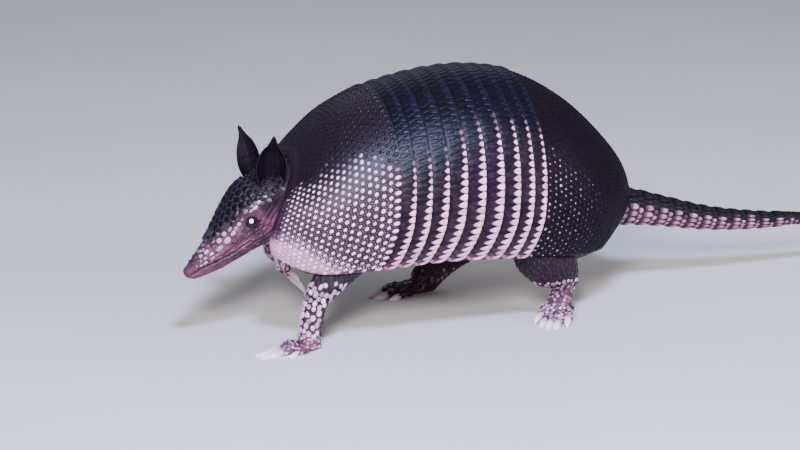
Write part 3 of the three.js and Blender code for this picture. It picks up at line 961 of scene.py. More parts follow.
@dataclass
class Shield:
    """One of the two rigid shields: a smooth plate covered with rosettes of scutes.

    Args:
        name: The piece's name.
        node: The node that it replaces.
        start: Station of the edge by the bands.
        end: Station of the free edge.
        columns: Scutes round the arch.
        step: Distance between two rows, in pitches.
        scute: Radius of the round scutes, in pitches.
        spot: Radius of a pale spot on each dark scute, in pitches; 0 where the scutes are pale themselves.
        rise: Height of the scutes in millimetres, where the pitch is 6.
        rim: Height of the smooth rim in millimetres.
        look: Its finish.
        rng: Draws the scutes' irregularities.
    """

    name: str
    node: str
    start: float
    end: float
    columns: int = 61
    step: float = 0.98
    scute: float = 0.33
    spot: float = 0.0
    rise: float = 0.95
    rim: float = 0.7
    look: ScaleFinish = SHIELD_LOOK
    rng: Random = field(default_factory=lambda: np.random.default_rng(SEED))

    def rows(self) -> tuple[Array, Array]:
        """Stations of the pattern's rows from the bands outwards, and the pitch at each, in millimetres."""
        share = np.linspace(-1, 1, 121)
        stations, pitches = [self.start], []
        forward = math.copysign(1.0, self.end - self.start)
        while True:
            u = stations[-1]
            ring = SHELL.at(np.full(121, u), share, 0.0) / MM
            pitch = np.linalg.norm(np.diff(ring, axis=0), axis=1).sum() / self.columns
            pitches.append(pitch)
            if (self.end - u) * forward < 0:
                return np.array(stations), np.array(pitches)
            one = SHELL.at(np.array([u, u + forward]), np.array([0.6, 0.6]), 0.0) / MM
            stations.append(u + forward * self.step * pitch / np.linalg.norm(one[1] - one[0]))

    def face(self, u: Array) -> Array:
        """Height of the plate's face over the shell's, at station u."""
        t = (u - self.start) / (self.end - self.start)
        lift = BAND_LIP if self.end < self.start else BAND_TUCK
        return lift * np.clip(1 - t, 0, 1) ** 4 - 0.45

    def pale(self, u: Array, share: Array) -> Array:
        """How pale the scutes are, from 0 to 1."""
        side = np.abs(share)
        line = pale_line(u)
        front = smooth(line - 0.07, line + 0.08, side)
        fade = np.interp(u, (38, 52, 76, 100), (0.95, 0.85, 0.55, 0.15))
        return np.where(u < BAND_START + 5, front, smooth(line - 0.02, line + 0.08, side) * fade)

    def ground(self, u: Array, share: Array) -> Array:
        """How pale the ground between the scutes is, from 0 to 1."""
        side = np.abs(share)
        corner = np.interp(u, (-184, -165, -141, -118, -92), (0.76, 0.78, 0.88, 0.97, 1.0))
        low = 2.1 * smooth(corner - 0.12, corner + 0.12, side)
        flank = 0.32 * smooth(0.36, 0.62, side)
        return np.where(u < BAND_START + 5, np.maximum(low, flank), 0.1 * smooth(0.9, 1.0, side))

    def plate(self, coat: Coat) -> None:
        """Adds the smooth plate, with rounded rims."""
        form = Forms.slab(220, 56)
        x, y, z = form.points.T
        u = mix(self.start, self.end, y)
        share = 2 * x - 1
        edge = np.minimum(np.minimum(1 - np.abs(share), 0.04) / 0.025, np.minimum(1 - y, 0.1) / 0.03)
        round_off = (1 - np.clip(edge, 0, 1)) ** 2
        out = np.where(z > 0.5, self.face(u) + self.rim * smooth(0.2, 1.2, edge) * (edge < 1.2) - round_off,
                       -PLATE + 0.2)
        points = SHELL.at(u, share, out)
        flat = beside(x, np.where(z > 0.5, y * 0.94, 0.95 + 0.05 * y))
        coat.add(form, points[None], self.ground(u, share)[None], 0.5, flat[None])

    def scutes(
        self, coat: Coat, form: Form, places: Array, radius: float, rise: float, paleness: float
    ) -> None:
        """Adds one scute at each place of the flat pattern.

        Args:
            coat: The coat that gets them.
            form: The scute's shape.
            places: Column and row of each scute.
            radius: In pitches.
            rise: Height in millimetres, where the pitch is 6.
            paleness: Share of the region's paleness that they take.
        """
        stations, pitches = self.rows()
        index = np.arange(len(stations))
        places = places + self.rng.normal(0, 0.03, places.shape)
        turn = self.rng.uniform(0, 2 * np.pi, len(places))
        size = radius * self.rng.normal(1, 0.22 if radius == self.spot else 0.07, len(places))[:, None]
        u0 = np.interp(places[:, 1], index, stations)
        share0 = SHELL.share(u0, places[:, 0] / self.columns)
        ground = self.ground(u0, share0)
        if radius == self.scute:
            size = size * (1 + 0.28 * np.clip(ground - 0.7, 0, 1))[:, None]
        cos, sin = np.cos(turn)[:, None], np.sin(turn)[:, None]
        fx, fy, fz = form.points.T
        x = places[:, :1] + size * (cos * fx - sin * fy)
        last = (places[:, 1:] < 1) & (radius == self.scute) & (self.spot == 0)
        y = places[:, 1:] + size * (sin * fx + cos * fy) / self.step * np.where(last, 1.6, 1.0)
        u = np.interp(y, index, stations)
        share = SHELL.share(u, x / self.columns)
        pitch = np.interp(y, index, pitches)
        out = self.face(u) + fz * rise * pitch / 6
        points = SHELL.at(u, share, out)
        pale = self.pale(u0, share0 + self.rng.normal(0, 0.02, len(u0))) * paleness
        if radius == self.spot:
            pale *= self.rng.uniform(0.25, 1.0, len(u0))
        pale = np.maximum(pale, ground)
        tone = np.clip(self.rng.normal(0.45, 0.28, len(u0)), 0, 1)
        flat = beside(x / self.columns, 0.94 * (u - self.start) / (self.end - self.start))
        coat.add(form, points, pale, tone, np.clip(flat, 0, 1))

    def lattice(self) -> Array:
        """Column and row of every round scute, staggered from row to row.

        Returns:
            A row for each scute.
        """
        stations, _ = self.rows()
        last = len(stations) - 1.9
        made = []
        for row in range(1, len(stations)):
            y = row - 0.45
            columns = np.arange(self.columns) + 0.5 * (row % 2) + 0.25
            columns = columns[(columns > 0.6) & (columns < self.columns - 0.6)]
            if y < last:
                made.append(beside(columns, np.full(len(columns), y)))
        return np.concatenate(made)

    def build(self) -> Piece:
        """Builds the dressed shield.

        Returns:
            The shield.
        """
        coat = Coat()
        self.plate(coat)
        centres = self.lattice()
        spotted = self.spot > 0
        self.scutes(coat, Forms.dome(10, 1.0), centres, self.scute, self.rise, 0.12 if spotted else 1.0)
        if spotted:
            self.scutes(coat, Forms.dome(8, 1.0, 2, -0.7), centres, self.spot, self.rise * 1.25, 1.0)
        small = (centres[:, None, :] + np.array(ROUND_A_SCUTE)[None]).reshape(-1, 2)
        small = small[(small[:, 0] > 0.4) & (small[:, 0] < self.columns - 0.4) & (small[:, 1] > 0.2)]
        bump = Forms.dome(6, 1.0, 1, 0.2)
        self.scutes(coat, bump, small, 0.115, self.rise * 0.42, 0.1 if spotted else 0.2)
        return dressed(coat.piece(self.name), self.look, "shield", self.node)


@dataclass
class Band:
    """One movable band: a smooth strip in front, a row of long three-cornered scales behind.

    Args:
        index: 0 for the first band.
        columns: Scales round the arch.
        strip: Share of the band's width that the smooth strip takes.
    """

    index: int
    columns: int = 67
    strip: float = 0.37
    rise: float = 0.5

    @cached_property
    def middle(self) -> Array:
        """Station of the band's middle."""
        return np.array((BAND_EDGES[self.index] + BAND_EDGES[self.index + 1]) / 2)

    def lay(self, x: Array, t: Array, out: Array) -> Array:
        """Points of the band: x from 0 to 1 round the arch, t from 0 to 1 backwards."""
        front, rear = BAND_EDGES[self.index] + GAP / 2, BAND_EDGES[self.index + 1] - GAP / 2
        share = SHELL.share(self.middle, x)
        reach = 1 - BAND_SCALLOP * (2 * t - 1) ** 2 * np.abs(share) ** 8
        lift = mix(BAND_TUCK, BAND_LIP, np.clip(t, 0, 1) ** 0.8) - 0.35
        return SHELL.at(mix(front, rear, t), share * reach, out + lift)

    def side(self, x: Array) -> Array:
        """How far down the flank the places x, from 0 to 1 round the arch, lie."""
        return np.abs(SHELL.share(self.middle, x))

    def plate(self, coat: Coat) -> None:
        """Adds the band's smooth plate."""
        form = Forms.slab(220, 12)
        x, y, z = form.points.T
        y = 1 - (1 - y) ** 1.5
        side = self.side(x)
        edge = np.minimum((1 - side) / 0.02, (1 - y) / 0.07)
        under = -PLATE + 0.2 - mix(BAND_TUCK, BAND_LIP, y**0.8)
        out = np.where(z > 0.5, -0.8 * (1 - np.clip(edge, 0, 1)) ** 2, under)
        line = pale_line(self.middle)
        rim = mix(0.25, 0.90, smooth(line - 0.05, line + 0.2, side)) * smooth(0.80, 0.88, y)
        rim += 1.3 * smooth(0.955, 0.985, side) + 1.0 * smooth(0.66, 0.9, side) * smooth(0.40, 0.65, y)
        low = mix(0.05, 0.34, smooth(line - 0.12, line + 0.3, side)) * smooth(0.0, 0.25, y)
        flat = beside(x, np.where(z > 0.5, y * 0.8, 0.85 + 0.15 * y))
        coat.add(form, self.lay(x, y, out)[None], (rim + low)[None], 0.5, flat[None])

    def scales(self, coat: Coat, pale: bool, rng: Random) -> None:
        """Adds the row of pale or of dark scales."""
        form = Forms.tooth(0.62 if pale else 0.47, 1.0, 1.0)
        fx, fy, fz = form.points.T
        form.crest = form.crest * (mix(0.38, 1.0, smooth(-0.9, -0.35, fx)) if pale else 0.35)
        column = np.arange(self.columns) + 0.5 if pale else np.arange(1.0, self.columns)
        side = self.side(column / self.columns)
        line = pale_line(self.middle)
        length = (0.93 - self.strip if pale else 0.87) * rng.normal(1, 0.04 if pale else 0.01, len(side))
        small = 0.0 * side
        if pale:
            small = 0.5 * smooth(line - 0.12, line - 0.02, side) * smooth(line + 0.2, line, side)
            length *= (1 + 0.3 * smooth(0.62, 0.95, side)) * (1 - small)
        x = (column[:, None] + fy * (1 - 0.6 * small)[:, None]) / self.columns
        t = 0.965 + fx * length[:, None] if pale else 0.05 - fx * length[:, None]
        shade = smooth(line - 0.09, line + 0.09, side + rng.normal(0, 0.006, len(side)))
        if not pale:
            shade = 0.20 * shade + 0.25 * smooth(0.8, 1.0, side)
        tone = tints(rng, 0.18, len(side))
        points = self.lay(x, t, np.maximum(fz * self.rise * (1.0 if pale else 0.75), SINK))
        coat.add(form, points, shade, tone, np.clip(beside(x, t * 0.8), 0, 1))

    def build(self) -> Piece:
        """Builds the dressed band.

        Returns:
            The band.
        """
        rng = np.random.default_rng(SEED + self.index)
        coat = Coat()
        self.plate(coat)
        self.scales(coat, True, rng)
        self.scales(coat, False, rng)
        number = self.index + 1
        return dressed(coat.piece(f"shell_band_{number}"), BAND_LOOK, "band", f"band_{number}")


# ---- head shield and tail


def tile_outlines(
    columns: int, rows: int, jitter: float, seam: float, rng: Random
) -> tuple[Array, Array]:
    """Outlines of irregular six-sided tiles with rounded corners.

    Args:
        columns: Tiles across.
        rows: Tiles along.
        jitter: How far a shared corner may stray, in tiles.
        seam: Share of each tile that its seams take.
        rng: Draws the strays.

    Returns:
        Centres (tiles, 2) and outlines (tiles, 24, 2), in columns and rows.
    """
    strays: dict[tuple[int, int], Array] = {}
    centres, outlines = [], []
    offsets = ((0, -4), (3, -2), (3, 2), (0, 4), (-3, 2), (-3, -2))
    for row in range(rows):
        for column in range(columns):
            cx, cy = 6 * column + 3 * (row % 2), 6 * row
            corners = []
            for dx, dy in offsets:
                key = (cx + dx, cy + dy)
                if key not in strays:
                    strays[key] = rng.uniform(-jitter, jitter, 2)
                corners.append(np.array(key) / 6 + strays[key])
            ring = np.array(corners)
            centre = ring.mean(axis=0)
            ring = centre + (ring - centre) * (1 - seam)
            for _ in range(2):
                after = np.roll(ring, -1, axis=0)
                ring = np.stack([0.8 * ring + 0.2 * after, 0.2 * ring + 0.8 * after], axis=1).reshape(-1, 2)
            centres.append(centre)
            outlines.append(ring)
    return np.array(centres), np.array(outlines)


def tile_points(form: Form, centres: Array, outlines: Array) -> tuple[Array, Array]:
    """Places a round form inside each tile's outline; returns the flat places and the heights."""
    fx, fy, fz = form.points.T
    count = outlines.shape[1]
    index = np.round((np.arctan2(fy, fx) % (2 * np.pi)) / (2 * np.pi) * count).astype(int) % count
    reach = np.hypot(fx, fy)[None, :, None]
    flat = centres[:, None, :] + reach * (outlines[:, index] - centres[:, None, :])
    return flat, np.broadcast_to(fz, flat.shape[:2])


def face_scales(
    coat: Coat, form: Form, place: Array, half: Array, out: Array, pale: Array, tone: Array
) -> None:
    """Adds scales that stand on the head's own surface.

    Args:
        coat: The coat that gets them.
        form: A round form of radius 1.
        place: Station and degrees of each scale.
        half: Half length and half breadth of each, in millimetres.
        out: Height of each one's foot over the head's surface, in millimetres.
        pale: How pale each one is.
        tone: The tint of each one.
    """
    u, degrees = place.T
    fx, fy, fz = form.points.T
    root = HEAD.at(u, degrees, 0.0)
    along = np.linalg.norm(HEAD.at(u + 1, degrees, 0.0) - root, axis=-1) / MM
    across = np.linalg.norm(HEAD.at(u, degrees + 1, 0.0) - root, axis=-1) / MM
    corner = (np.abs(fx) ** 3 + np.abs(fy) ** 3 + 1e-9) ** (-1 / 3) * np.hypot(fx, fy)
    a = u[:, None] + fx * corner * (half[:, 0] / along)[:, None]
    b = degrees[:, None] + fy * corner * (half[:, 1] / across)[:, None]
    flat = beside(0.5 + b / 370, 0.5 + (a + 205) / 90)
    coat.add(form, HEAD.at(a, b, out[:, None] + fz), pale, tone, np.clip(flat, 0.01, 0.99))


# Scales of the face: station, degrees from the top, half length, half breadth, paleness. The pale ones behind
# the eye, from station -192 back, are partly painted highlight.
FACE_ROWS = (
    (-235.8, 70, 1.2, 0.9, 0.75), (-232.2, 72, 1.9, 1.1, 0.9), (-233.6, 53, 1.1, 1, 0.6),
    (-231, 37, 1.7, 1.5, 0.65), (-230.2, 58, 1.6, 1.4, 0.6), (-227.2, 76, 2.2, 1.2, 0.55),
    (-226.4, 45, 1.9, 1.5, 0.75), (-225.2, 63, 1.7, 1.2, 0.9), (-227, 28, 1.5, 1.3, 0.4),
    (-222, 36, 1.9, 1.2, 0.5), (-220.8, 52, 1.3, 1, 0.4), (-219.6, 69, 2.9, 1.7, 0.75),
    (-218.8, 42, 1.6, 1.3, 0.5), (-216.2, 54, 2.2, 1.9, 0.65), (-213.2, 70, 3, 2.4, 0.85),
    (-213.6, 40, 1.9, 1.7, 0.4), (-211.8, 54, 2.1, 1.9, 0.5), (-208.8, 71, 2.3, 1.7, 0.8),
    (-208, 58, 2, 1.7, 0.55), (-206, 70, 1.8, 1.6, 0.8), (-203.4, 68, 1.6, 1.5, 0.75),
    (-200.2, 66, 1.8, 1.1, 0.6), (-196, 61, 2, 1.2, 0.6), (-193.8, 68, 1.7, 1.1, 0.6),
    (-190.6, 70, 2, 1.4, 0.8), (-206, 41, 1.9, 1.6, 0.22), (-204.6, 54, 1.9, 1.6, 0.25),
    (-201.6, 56, 1.9, 1.5, 0.2), (-234, 22, 1.3, 1.1, 0.35), (-220.4, 19, 1.6, 1.3, 0.3),
    (-235.4, 43, 1.2, 1, 0.3), (-186.8, 66, 1.8, 1.4, 0.85), (-182, 63, 1.8, 1.3, 0.7),
    (-191.4, 62, 1.5, 1.3, 0.6), (-224.5, 11, 1.5, 1.3, 0.3), (-229.8, 11, 1.3, 1.2, 0.3),
    (-238.5, 58, 0.9, 0.8, 0.5), (-239, 32, 0.9, 0.8, 0.3), (-202.5, 42, 1.9, 1.6, 0.12),
    (-199, 55, 1.6, 1.3, 0.3), (-223.5, 78, 1.5, 0.9, 0.4), (-228.5, 20, 1.3, 1.1, 0.35),
    (-231.5, 30, 1, 0.9, 0.4), (-220, 60, 1.1, 0.9, 0.5),
)


@dataclass
class HeadShield:
    """The bony shield on top of the head: a thin plate under large irregular polished plates."""

    columns: int = 7
    rows: int = 11
    plated: float = 0.95
    rise: float = 0.75

    def lay(self, x: Array, y: Array, out: Array) -> Array:
        """Points of the shield: x from 0 to 1 across, y from 0 to 1 from its rear edge to its front."""
        u = mix(CROWN_REAR, CROWN_FRONT, np.maximum(y, 0.0) ** 0.92)
        narrow = mix(1.0, 0.86, smooth(0.5, 1.0, y)) * mix(0.86, 1.0, smooth(0.0, 0.2, y))
        return HEAD.at(u, (2 * x - 1) * CROWN_HALF_ANGLE * 1.06 * narrow, out)

    @staticmethod
    def temples(coat: Coat, rng: Random) -> None:
        """Adds the dark scales behind and below the shield, up to the ears."""
        rows = [(u, degrees + 6.5 * (k % 2)) for k, u in enumerate(np.arange(-202, -169, 2.7))
                for degrees in np.arange(-84.5, 84, 13.0)]
        u, degrees = (np.array(rows) + rng.normal(0, (0.3, 1.0), (len(rows), 2))).T
        limit = np.interp(u, (-202, -196, -190, -184, -178, -170), (55, 60, 68, 75, 72, 62))
        x, y, z = in_stations(HEAD.at(u, degrees, 0.0))
        keep = (np.abs(degrees) < limit) & ((u > CROWN_REAR + 1.0) | (np.abs(degrees) > 50))
        keep &= ear_gap(x, y, z) > 6
        place = beside(u, degrees)[keep]
        half = np.tile([2.1, 2.0], (len(place), 1)) * rng.uniform(0.85, 1.1, (len(place), 1))
        side = np.abs(place[:, 1])
        # Paler towards their lower edge: partly real pale scales, partly a painted highlight over the eye.
        pale = 0.5 * smooth(limit[keep] - 14, limit[keep] - 2, side) * rng.uniform(0.2, 1.0, len(side))
        tone = tints(rng, 0.2, len(side))
        out = np.where((side < 58) & (place[:, 0] < CROWN_REAR + 1.0), 1.0, 0.0)
        face_scales(coat, Forms.dome(12, 0.8, 2, 1.0), place, half, out, pale, tone)

    def build(self) -> Piece:
        """Builds the dressed shield.

        Returns:
            The shield.
        """
        rng = np.random.default_rng(SEED + 31)
        coat = Coat()
        form = Forms.slab(48, 48)
        x, y, z = form.points.T
        edge = np.minimum(np.minimum(x, 1 - x), np.minimum(y, 1 - y)) / 0.04
        thick = GAP + CROWN_THICKNESS - 0.4
        out = np.where(z > 0.5, thick - 0.9 * (1 - np.clip(edge, 0, 1)) ** 2, -0.6)
        flat = beside(x, np.where(z > 0.5, y * 0.8, 0.85 + y * 0.15))
        coat.add(form, self.lay(x, y, out)[None], 0.0, 0.5, flat[None])
        centres, outlines = tile_outlines(self.columns + 1, self.rows + 1, 0.17, 0.035, rng)
        size = np.array([self.columns, self.rows])
        keep = np.all((centres > -0.1) & (centres < size * (1, self.plated) + (0.1, -0.2)), axis=1)
        keep &= (centres[:, 1] < size[1] * 0.62) | (np.abs(centres[:, 0] / size[0] - 0.5) < 0.38)
        centres = centres[keep] / size
        outlines = np.clip(outlines[keep] / size, 0.012, 0.988)
        form = Forms.dome(24, 1.0, 3, 0.4)
        places, height = tile_points(form, centres, outlines)
        points = self.lay(places[..., 0], places[..., 1], thick + height * self.rise)
        tone = tints(rng, 0.22, len(centres))
        pale = 0.2 * smooth(0.5, 0.95, centres[:, 1]) * (0.3 + 1.4 * tone)
        coat.add(form, points, pale, tone, places * np.array([1, 0.8]))
        self.temples(coat, rng)
        return dressed(coat.piece("crown_plates"), CROWN_LOOK, "crown", "head_shield")


@dataclass
class Tail:
    """The tail: stepped rings, each with two rows of scales, and a thin end of smaller rows."""

    columns: int = 16
    end_rows: int = 34
    rise: float = 0.55

    @staticmethod
    def lip(u: Array) -> Array:
        """Height of the rings' steps at station u."""
        ring = (u - TAIL_FRONT) / (TAIL_RINGS_REAR - TAIL_FRONT) * TAIL_RINGS
        on_ring = TAIL_LIP * (np.mod(ring, 1.0) - 0.5)
        return np.where(u < TAIL_RINGS_REAR, on_ring, 0.0) - 0.35

    def core(self, coat: Coat, front: float, rear: float, rows: int, lip: float) -> None:
        """Adds a closed stretch of the tail's core from front to rear."""
        Bench.deselect()
        bpy.ops.mesh.primitive_cylinder_add(vertices=40, radius=1, depth=1, end_fill_type="NGON")
        piece = Bench.edit()
        bpy.ops.mesh.bisect(plane_co=(0, 0, 0), plane_no=(0, 0, 1))
        for level in range(1, rows):
            bpy.ops.mesh.select_all(action="SELECT")
            bpy.ops.mesh.bisect(plane_co=(0, 0, level / rows - 0.5), plane_no=(0, 0, 1))
        Bench.close()
        form = Form.taken(piece, lambda p: np.zeros(len(p)))
        x, y, z = form.points.T
        t = z + 0.5
        u = mix(front, rear, t)
        degrees = np.degrees(np.arctan2(y, x))
        out = lip * (t - 0.5) - 0.35 - 0.7 * smooth(0.93, 1.0, t) * (lip > 0)
        side = np.abs(degrees) / 180
        flat = beside(degrees / 360 + 0.5, self.along(u))
        coat.add(form, TAIL.at(u, degrees, out)[None], (0.55 * smooth(0.42, 0.62, side))[None],
                 0.5, flat[None])

    @staticmethod
    def along(u: Array) -> Array:
        """Place along the tail on its map, from 0 to 1."""
        return np.clip((u - TAIL_ROOT) / (TAIL_TIP - TAIL_ROOT), 0, 1)

    def scales(self, coat: Coat, stations: Array, columns: int, rng: Random) -> None:
        """Adds rows of scales between the stations.

        Args:
            coat: The coat that gets them.
            stations: Edges of the rows.
            columns: Scales round the tail.
            rng: Draws their sizes and tints.
        """
        form = Forms.dome(12, 1.0, 2, 0.4)
        fx, fy, fz = form.points.T
        form.crest = form.crest * mix(0.30, 1.0, smooth(-0.75, 0.15, fx))
        square = (np.abs(fx) ** 3 + np.abs(fy) ** 3 + 1e-9) ** (1 / 3)
        round_to = np.hypot(fx, fy) / square
        for row, (low, high) in enumerate(zip(stations[:-1], stations[1:])):
            column = np.arange(columns) + 0.5 * (row % 2)
            degrees = column[:, None] * 360 / columns - 180 + fy * round_to * 0.46 * 360 / columns
            reach = (high - low) * rng.normal(1, 0.04, (columns, 1))
            u = (low + high) / 2 + fx * round_to * 0.47 * reach
            u = u + 0.10 * reach * (1 - (fy * round_to) ** 2)
            size = float(TAIL.track["radius"](np.array(low))) / 18
            out = self.lip((low + high) / 2) + 0.35 * (high - low) / 8
            out = out + fz * self.rise * (0.4 + 0.6 * size)
            turn = np.abs(column * 360 / columns % 360 - 180) / 180
            edge = (0.50 if row % 2 == 0 else 0.37) + rng.normal(0, 0.03, columns)
            pale = smooth(edge - 0.05, edge + 0.06, turn)
            pale *= np.interp(low, (TAIL_RINGS_REAR - 20, TAIL_RINGS_REAR + 30), (1.0, 0.25))
            tone = tints(rng, 0.2, columns)
            flat = beside(degrees / 360 + 0.5, self.along(u))
            coat.add(form, TAIL.at(u, degrees, out), pale, tone, np.clip(flat, 0, 1))

    def build(self) -> list[Piece]:
        """Builds the dressed rings and the dressed end.

        Returns:
            Both pieces.
        """
        rng = np.random.default_rng(SEED + 41)
        coat = Coat()
        edges = np.linspace(TAIL_FRONT, TAIL_RINGS_REAR, TAIL_RINGS + 1)
        for front, rear in zip(edges[:-1], edges[1:]):
            start = TAIL_ROOT + 7 if front == edges[0] else front + GAP
            self.core(coat, start, rear, 4, TAIL_LIP)
            middle = mix(front, rear, 0.42)
            self.scales(coat, np.array([front + 0.4, middle, rear + 0.6]), self.columns, rng)
        names = [f"tail_ring_{i + 1}" for i in range(TAIL_RINGS)]
        rings = dressed(coat.piece("tail_rings"), TAIL_LOOK, "tail", *names)
        coat = Coat()
        self.core(coat, TAIL_RINGS_REAR + GAP, TAIL_TIP, 40, 0.0)
        stations = mix(TAIL_RINGS_REAR + GAP, TAIL_TIP - 1, np.linspace(0, 1, self.end_rows) ** 0.9)
        self.scales(coat, stations, 10, rng)
        end = dressed(coat.piece("tail_tip"), TAIL_LOOK, "tail", "tail_end_1", "tail_end_2")
        return [rings, end]


# ---- limbs


@dataclass(frozen=True)
class Toe:
    """One toe and its claw, in the foot's own frame: X to the toes, Y outwards, Z up, in millimetres.

    Args:
        across, along: Where its knuckle is.
        turn: Its heading in degrees outwards.
        length, radius: Of the toe from its knuckle.
        claw, root: Length of its claw, and the claw's radius at its root.
    """

    across: float
    along: float
    turn: float
    length: float
    radius: float
    claw: float
    root: float


@dataclass(frozen=True)
class Limb:
    """One leg with its foot.

    Args:
        name: What its nodes are called after.
        side: The side of the body that it stands on.
        toes: Its toes from the inner to the outer one.
        sole: Length, half width and height of the foot.
        at: Where the toes begin.
        turn: Heading of the foot in degrees outwards.
        pitch: Pitch of the whole foot in degrees.
        heel: How far the heel is lifted, in degrees.
        path: Stations from inside the body to the ankle: x, y, z, half breadths across and along.
    """

    name: str
    side: Side
    toes: tuple[Toe, ...]
    sole: tuple[float, float, float]
    at: tuple[float, float, float]
    turn: float
    pitch: float
    heel: float
    path: tuple[tuple[float, ...], ...]

    def placed(self, points: Array) -> Array:
        """Points of the foot's own frame, in millimetres of the stations."""
        pitch = math.radians(self.pitch)
        heading = math.pi - self.side.value * math.radians(self.turn)
        x = points[..., 0] * math.cos(pitch) + points[..., 2] * math.sin(pitch)
        z = points[..., 2] * math.cos(pitch) - points[..., 0] * math.sin(pitch)
        y = -self.side.value * points[..., 1]
        cos, sin = math.cos(heading), math.sin(heading)
        return beside(x * cos - y * sin, x * sin + y * cos, z) + np.array(self.at)

    @staticmethod
    def raised(points: Array, degrees: float) -> Array:
        """Lifts the heel: what lies behind the toes turns up about them."""
        angle = math.radians(degrees)
        x, rise = points[..., 0], points[..., 2] - 6
        back = x * math.cos(angle) + rise * math.sin(angle) * 0.4
        turned = beside(back, points[..., 1], 6 - x * math.sin(angle) + rise * math.cos(angle))
        return np.where((x < 0)[..., None], turned, points)

    def toe_path(self, toe: Toe) -> tuple[Array, Array, Array, Array, bool]:
        """Where a toe starts, its knuckle, its end, its heading, and whether its claw is off the floor."""
        heading = math.radians(toe.turn)
        forward = np.array([math.cos(heading), math.sin(heading), 0.0])
        lift = self.heel * 0.8 if toe.along < 0 else 0.0
        start = self.raised(np.array([toe.along - 5, toe.across, toe.radius]), self.heel)
        knuckle = self.raised(np.array([toe.along, toe.across, toe.radius + 1]), lift)
        tip = knuckle + forward * toe.length
        tip[2] -= 0.14 * toe.radius + 1.9
        return start, knuckle, tip, forward, lift > 0

    def claw_path(self, toe: Toe, t: Array) -> tuple[Array, Array]:
        """Middle line of a toe's claw and its direction, t from 0 at the root to 1 at the point."""
        _, knuckle, tip, forward, lifted = self.toe_path(toe)
        onwards = unit(tip - knuckle)
        root = tip + onwards * (GAP + 0.1)
        bend = root + onwards * toe.claw * 0.55
        end = root + forward * toe.claw
        end[2] = root[2] - toe.claw * 0.5 if lifted else 0.8
        t = t[:, None]
        middle = (1 - t) ** 2 * root + 2 * t * (1 - t) * bend + t * t * end
        return middle, 2 * (1 - t) * (bend - root) + 2 * t * (end - bend)


FRONT_TOES = (
    Toe(-9, 1, -10, 6, 3.7, 13, 2.6), Toe(-2.8, 5, -2, 8, 4.2, 23, 3.3),
    Toe(2.8, 5, 4, 8, 4.2, 21, 3.1), Toe(9.2, -1, 12, 5, 3.5, 9, 2.3),
)
HIND_TOES = (
    Toe(-11, -6, -12, 6, 4, 11, 3), Toe(-5.2, 1, -4, 7.5, 4.5, 13, 3.6), Toe(0, 3, 0, 8, 4.8, 14, 3.8),
    Toe(5.2, 1, 4, 7.5, 4.5, 13, 3.6), Toe(11, -6, 12, 6, 4, 11, 3),
)
FRONT_SOLE, HIND_SOLE = (22.0, 11.5, 12.0), (37.0, 12.5, 15.0)
LIMBS = (
    Limb("front_{}_left", Side.LEFT, FRONT_TOES, FRONT_SOLE, (-174, -54, 0), 8, 0, 0, (
        (-110, -46, 100, 22, 28), (-127, -53, 78, 18, 21), (-144, -55, 58, 13, 14.5),
        (-155, -54, 42, 10, 10.5), (-159, -53.5, 26, 9.5, 9.5), (-161, -53, 7, 8.8, 9.4))),
    Limb("front_{}_right", Side.RIGHT, FRONT_TOES, FRONT_SOLE, (-149, 41, 51), 0, 122, 0, (
        (-108, 44, 98, 22, 26), (-126, 47, 82, 17, 20), (-145, 44, 71, 12, 14), (-160, 42, 65, 9, 10))),
    Limb("hind_{}_left", Side.LEFT, HIND_TOES, HIND_SOLE, (57, -66, 0), 45, 0, 42, (
        (84, -38, 92, 26, 36), (57, -51, 70, 22, 34), (60, -54, 52, 17, 28),
        (71, -51, 37, 12, 16), (77, -47, 26, 9.5, 11.5))),
    Limb("hind_{}_right", Side.RIGHT, HIND_TOES, HIND_SOLE, (-37, 63, 0), 0, 0, 0, (
        (84, 40, 92, 26, 34), (56, 52, 66, 20, 28), (30, 58, 44, 14, 19), (6, 61, 27, 12, 16.5),
        (-9, 62, 10, 10.5, 14))),
)


def rings_along(middle: Array, forward: Array, half: Array, around: int) -> Array:
    """Rings square to a path.

    Args:
        middle: Their centres, (rings, 3).
        forward: The path's direction at each.
        half: Their half breadths across and along, (rings, 2).
        around: Points of each ring.

    Returns:
        Their points, (rings, around, 3).
    """
    forward = forward / np.linalg.norm(forward, axis=1, keepdims=True)
    aside = np.array([0.0, 1.0, 0.0])
    first = aside - forward * (forward @ aside)[:, None]
    first /= np.linalg.norm(first, axis=1, keepdims=True)
    second = np.cross(forward, first)
    angle = 2 * np.pi * np.arange(around) / around
    return (middle[:, None] + first[:, None] * (half[:, :1] * np.cos(angle))[..., None]
            + second[:, None] * (half[:, 1:] * np.sin(angle))[..., None])


def tube(rings: Array, bulge: tuple[float, float]) -> Piece:
    """Models a closed tube through rings, with domed ends.

    Args:
        rings: Their points, (rings, around, 3), in metres.
        bulge: How far both ends reach beyond the rings, in their own radii.

    Returns:
        The tube.
    """
    around = rings.shape[1]
    middle = rings.mean(axis=1)
    rows, poles = list(rings), []
    for end, inner, share in ((0, 1, bulge[0]), (-1, -2, bulge[1])):
        reach = np.linalg.norm(rings[end] - middle[end], axis=1).mean() * share
        beyond = middle[end] - middle[inner]
        beyond *= reach / np.linalg.norm(beyond)
        cap = [middle[end] + (rings[end] - middle[end]) * math.cos(a) + beyond * math.sin(a)
               for a in np.radians((25, 50, 72))]
        rows = cap[::-1] + rows if end == 0 else rows + cap
        poles.append(np.tile(middle[end] + beyond, (around, 1)))
    grid = np.array([poles[0], *rows, poles[1]])
    Bench.deselect()
    bpy.ops.mesh.primitive_uv_sphere_add(segments=around, ring_count=len(grid) - 1, radius=1)
    piece = bpy.context.object
    x, y, z = Bench.points(piece).T
    level = np.round(np.arccos(np.clip(z, -1, 1)) / np.pi * (len(grid) - 1)).astype(int)
    turn = np.round((np.arctan2(y, x) % (2 * np.pi)) / (2 * np.pi) * around).astype(int) % around
    Bench.move(piece, grid[level, turn])
    return piece


# ---- skin


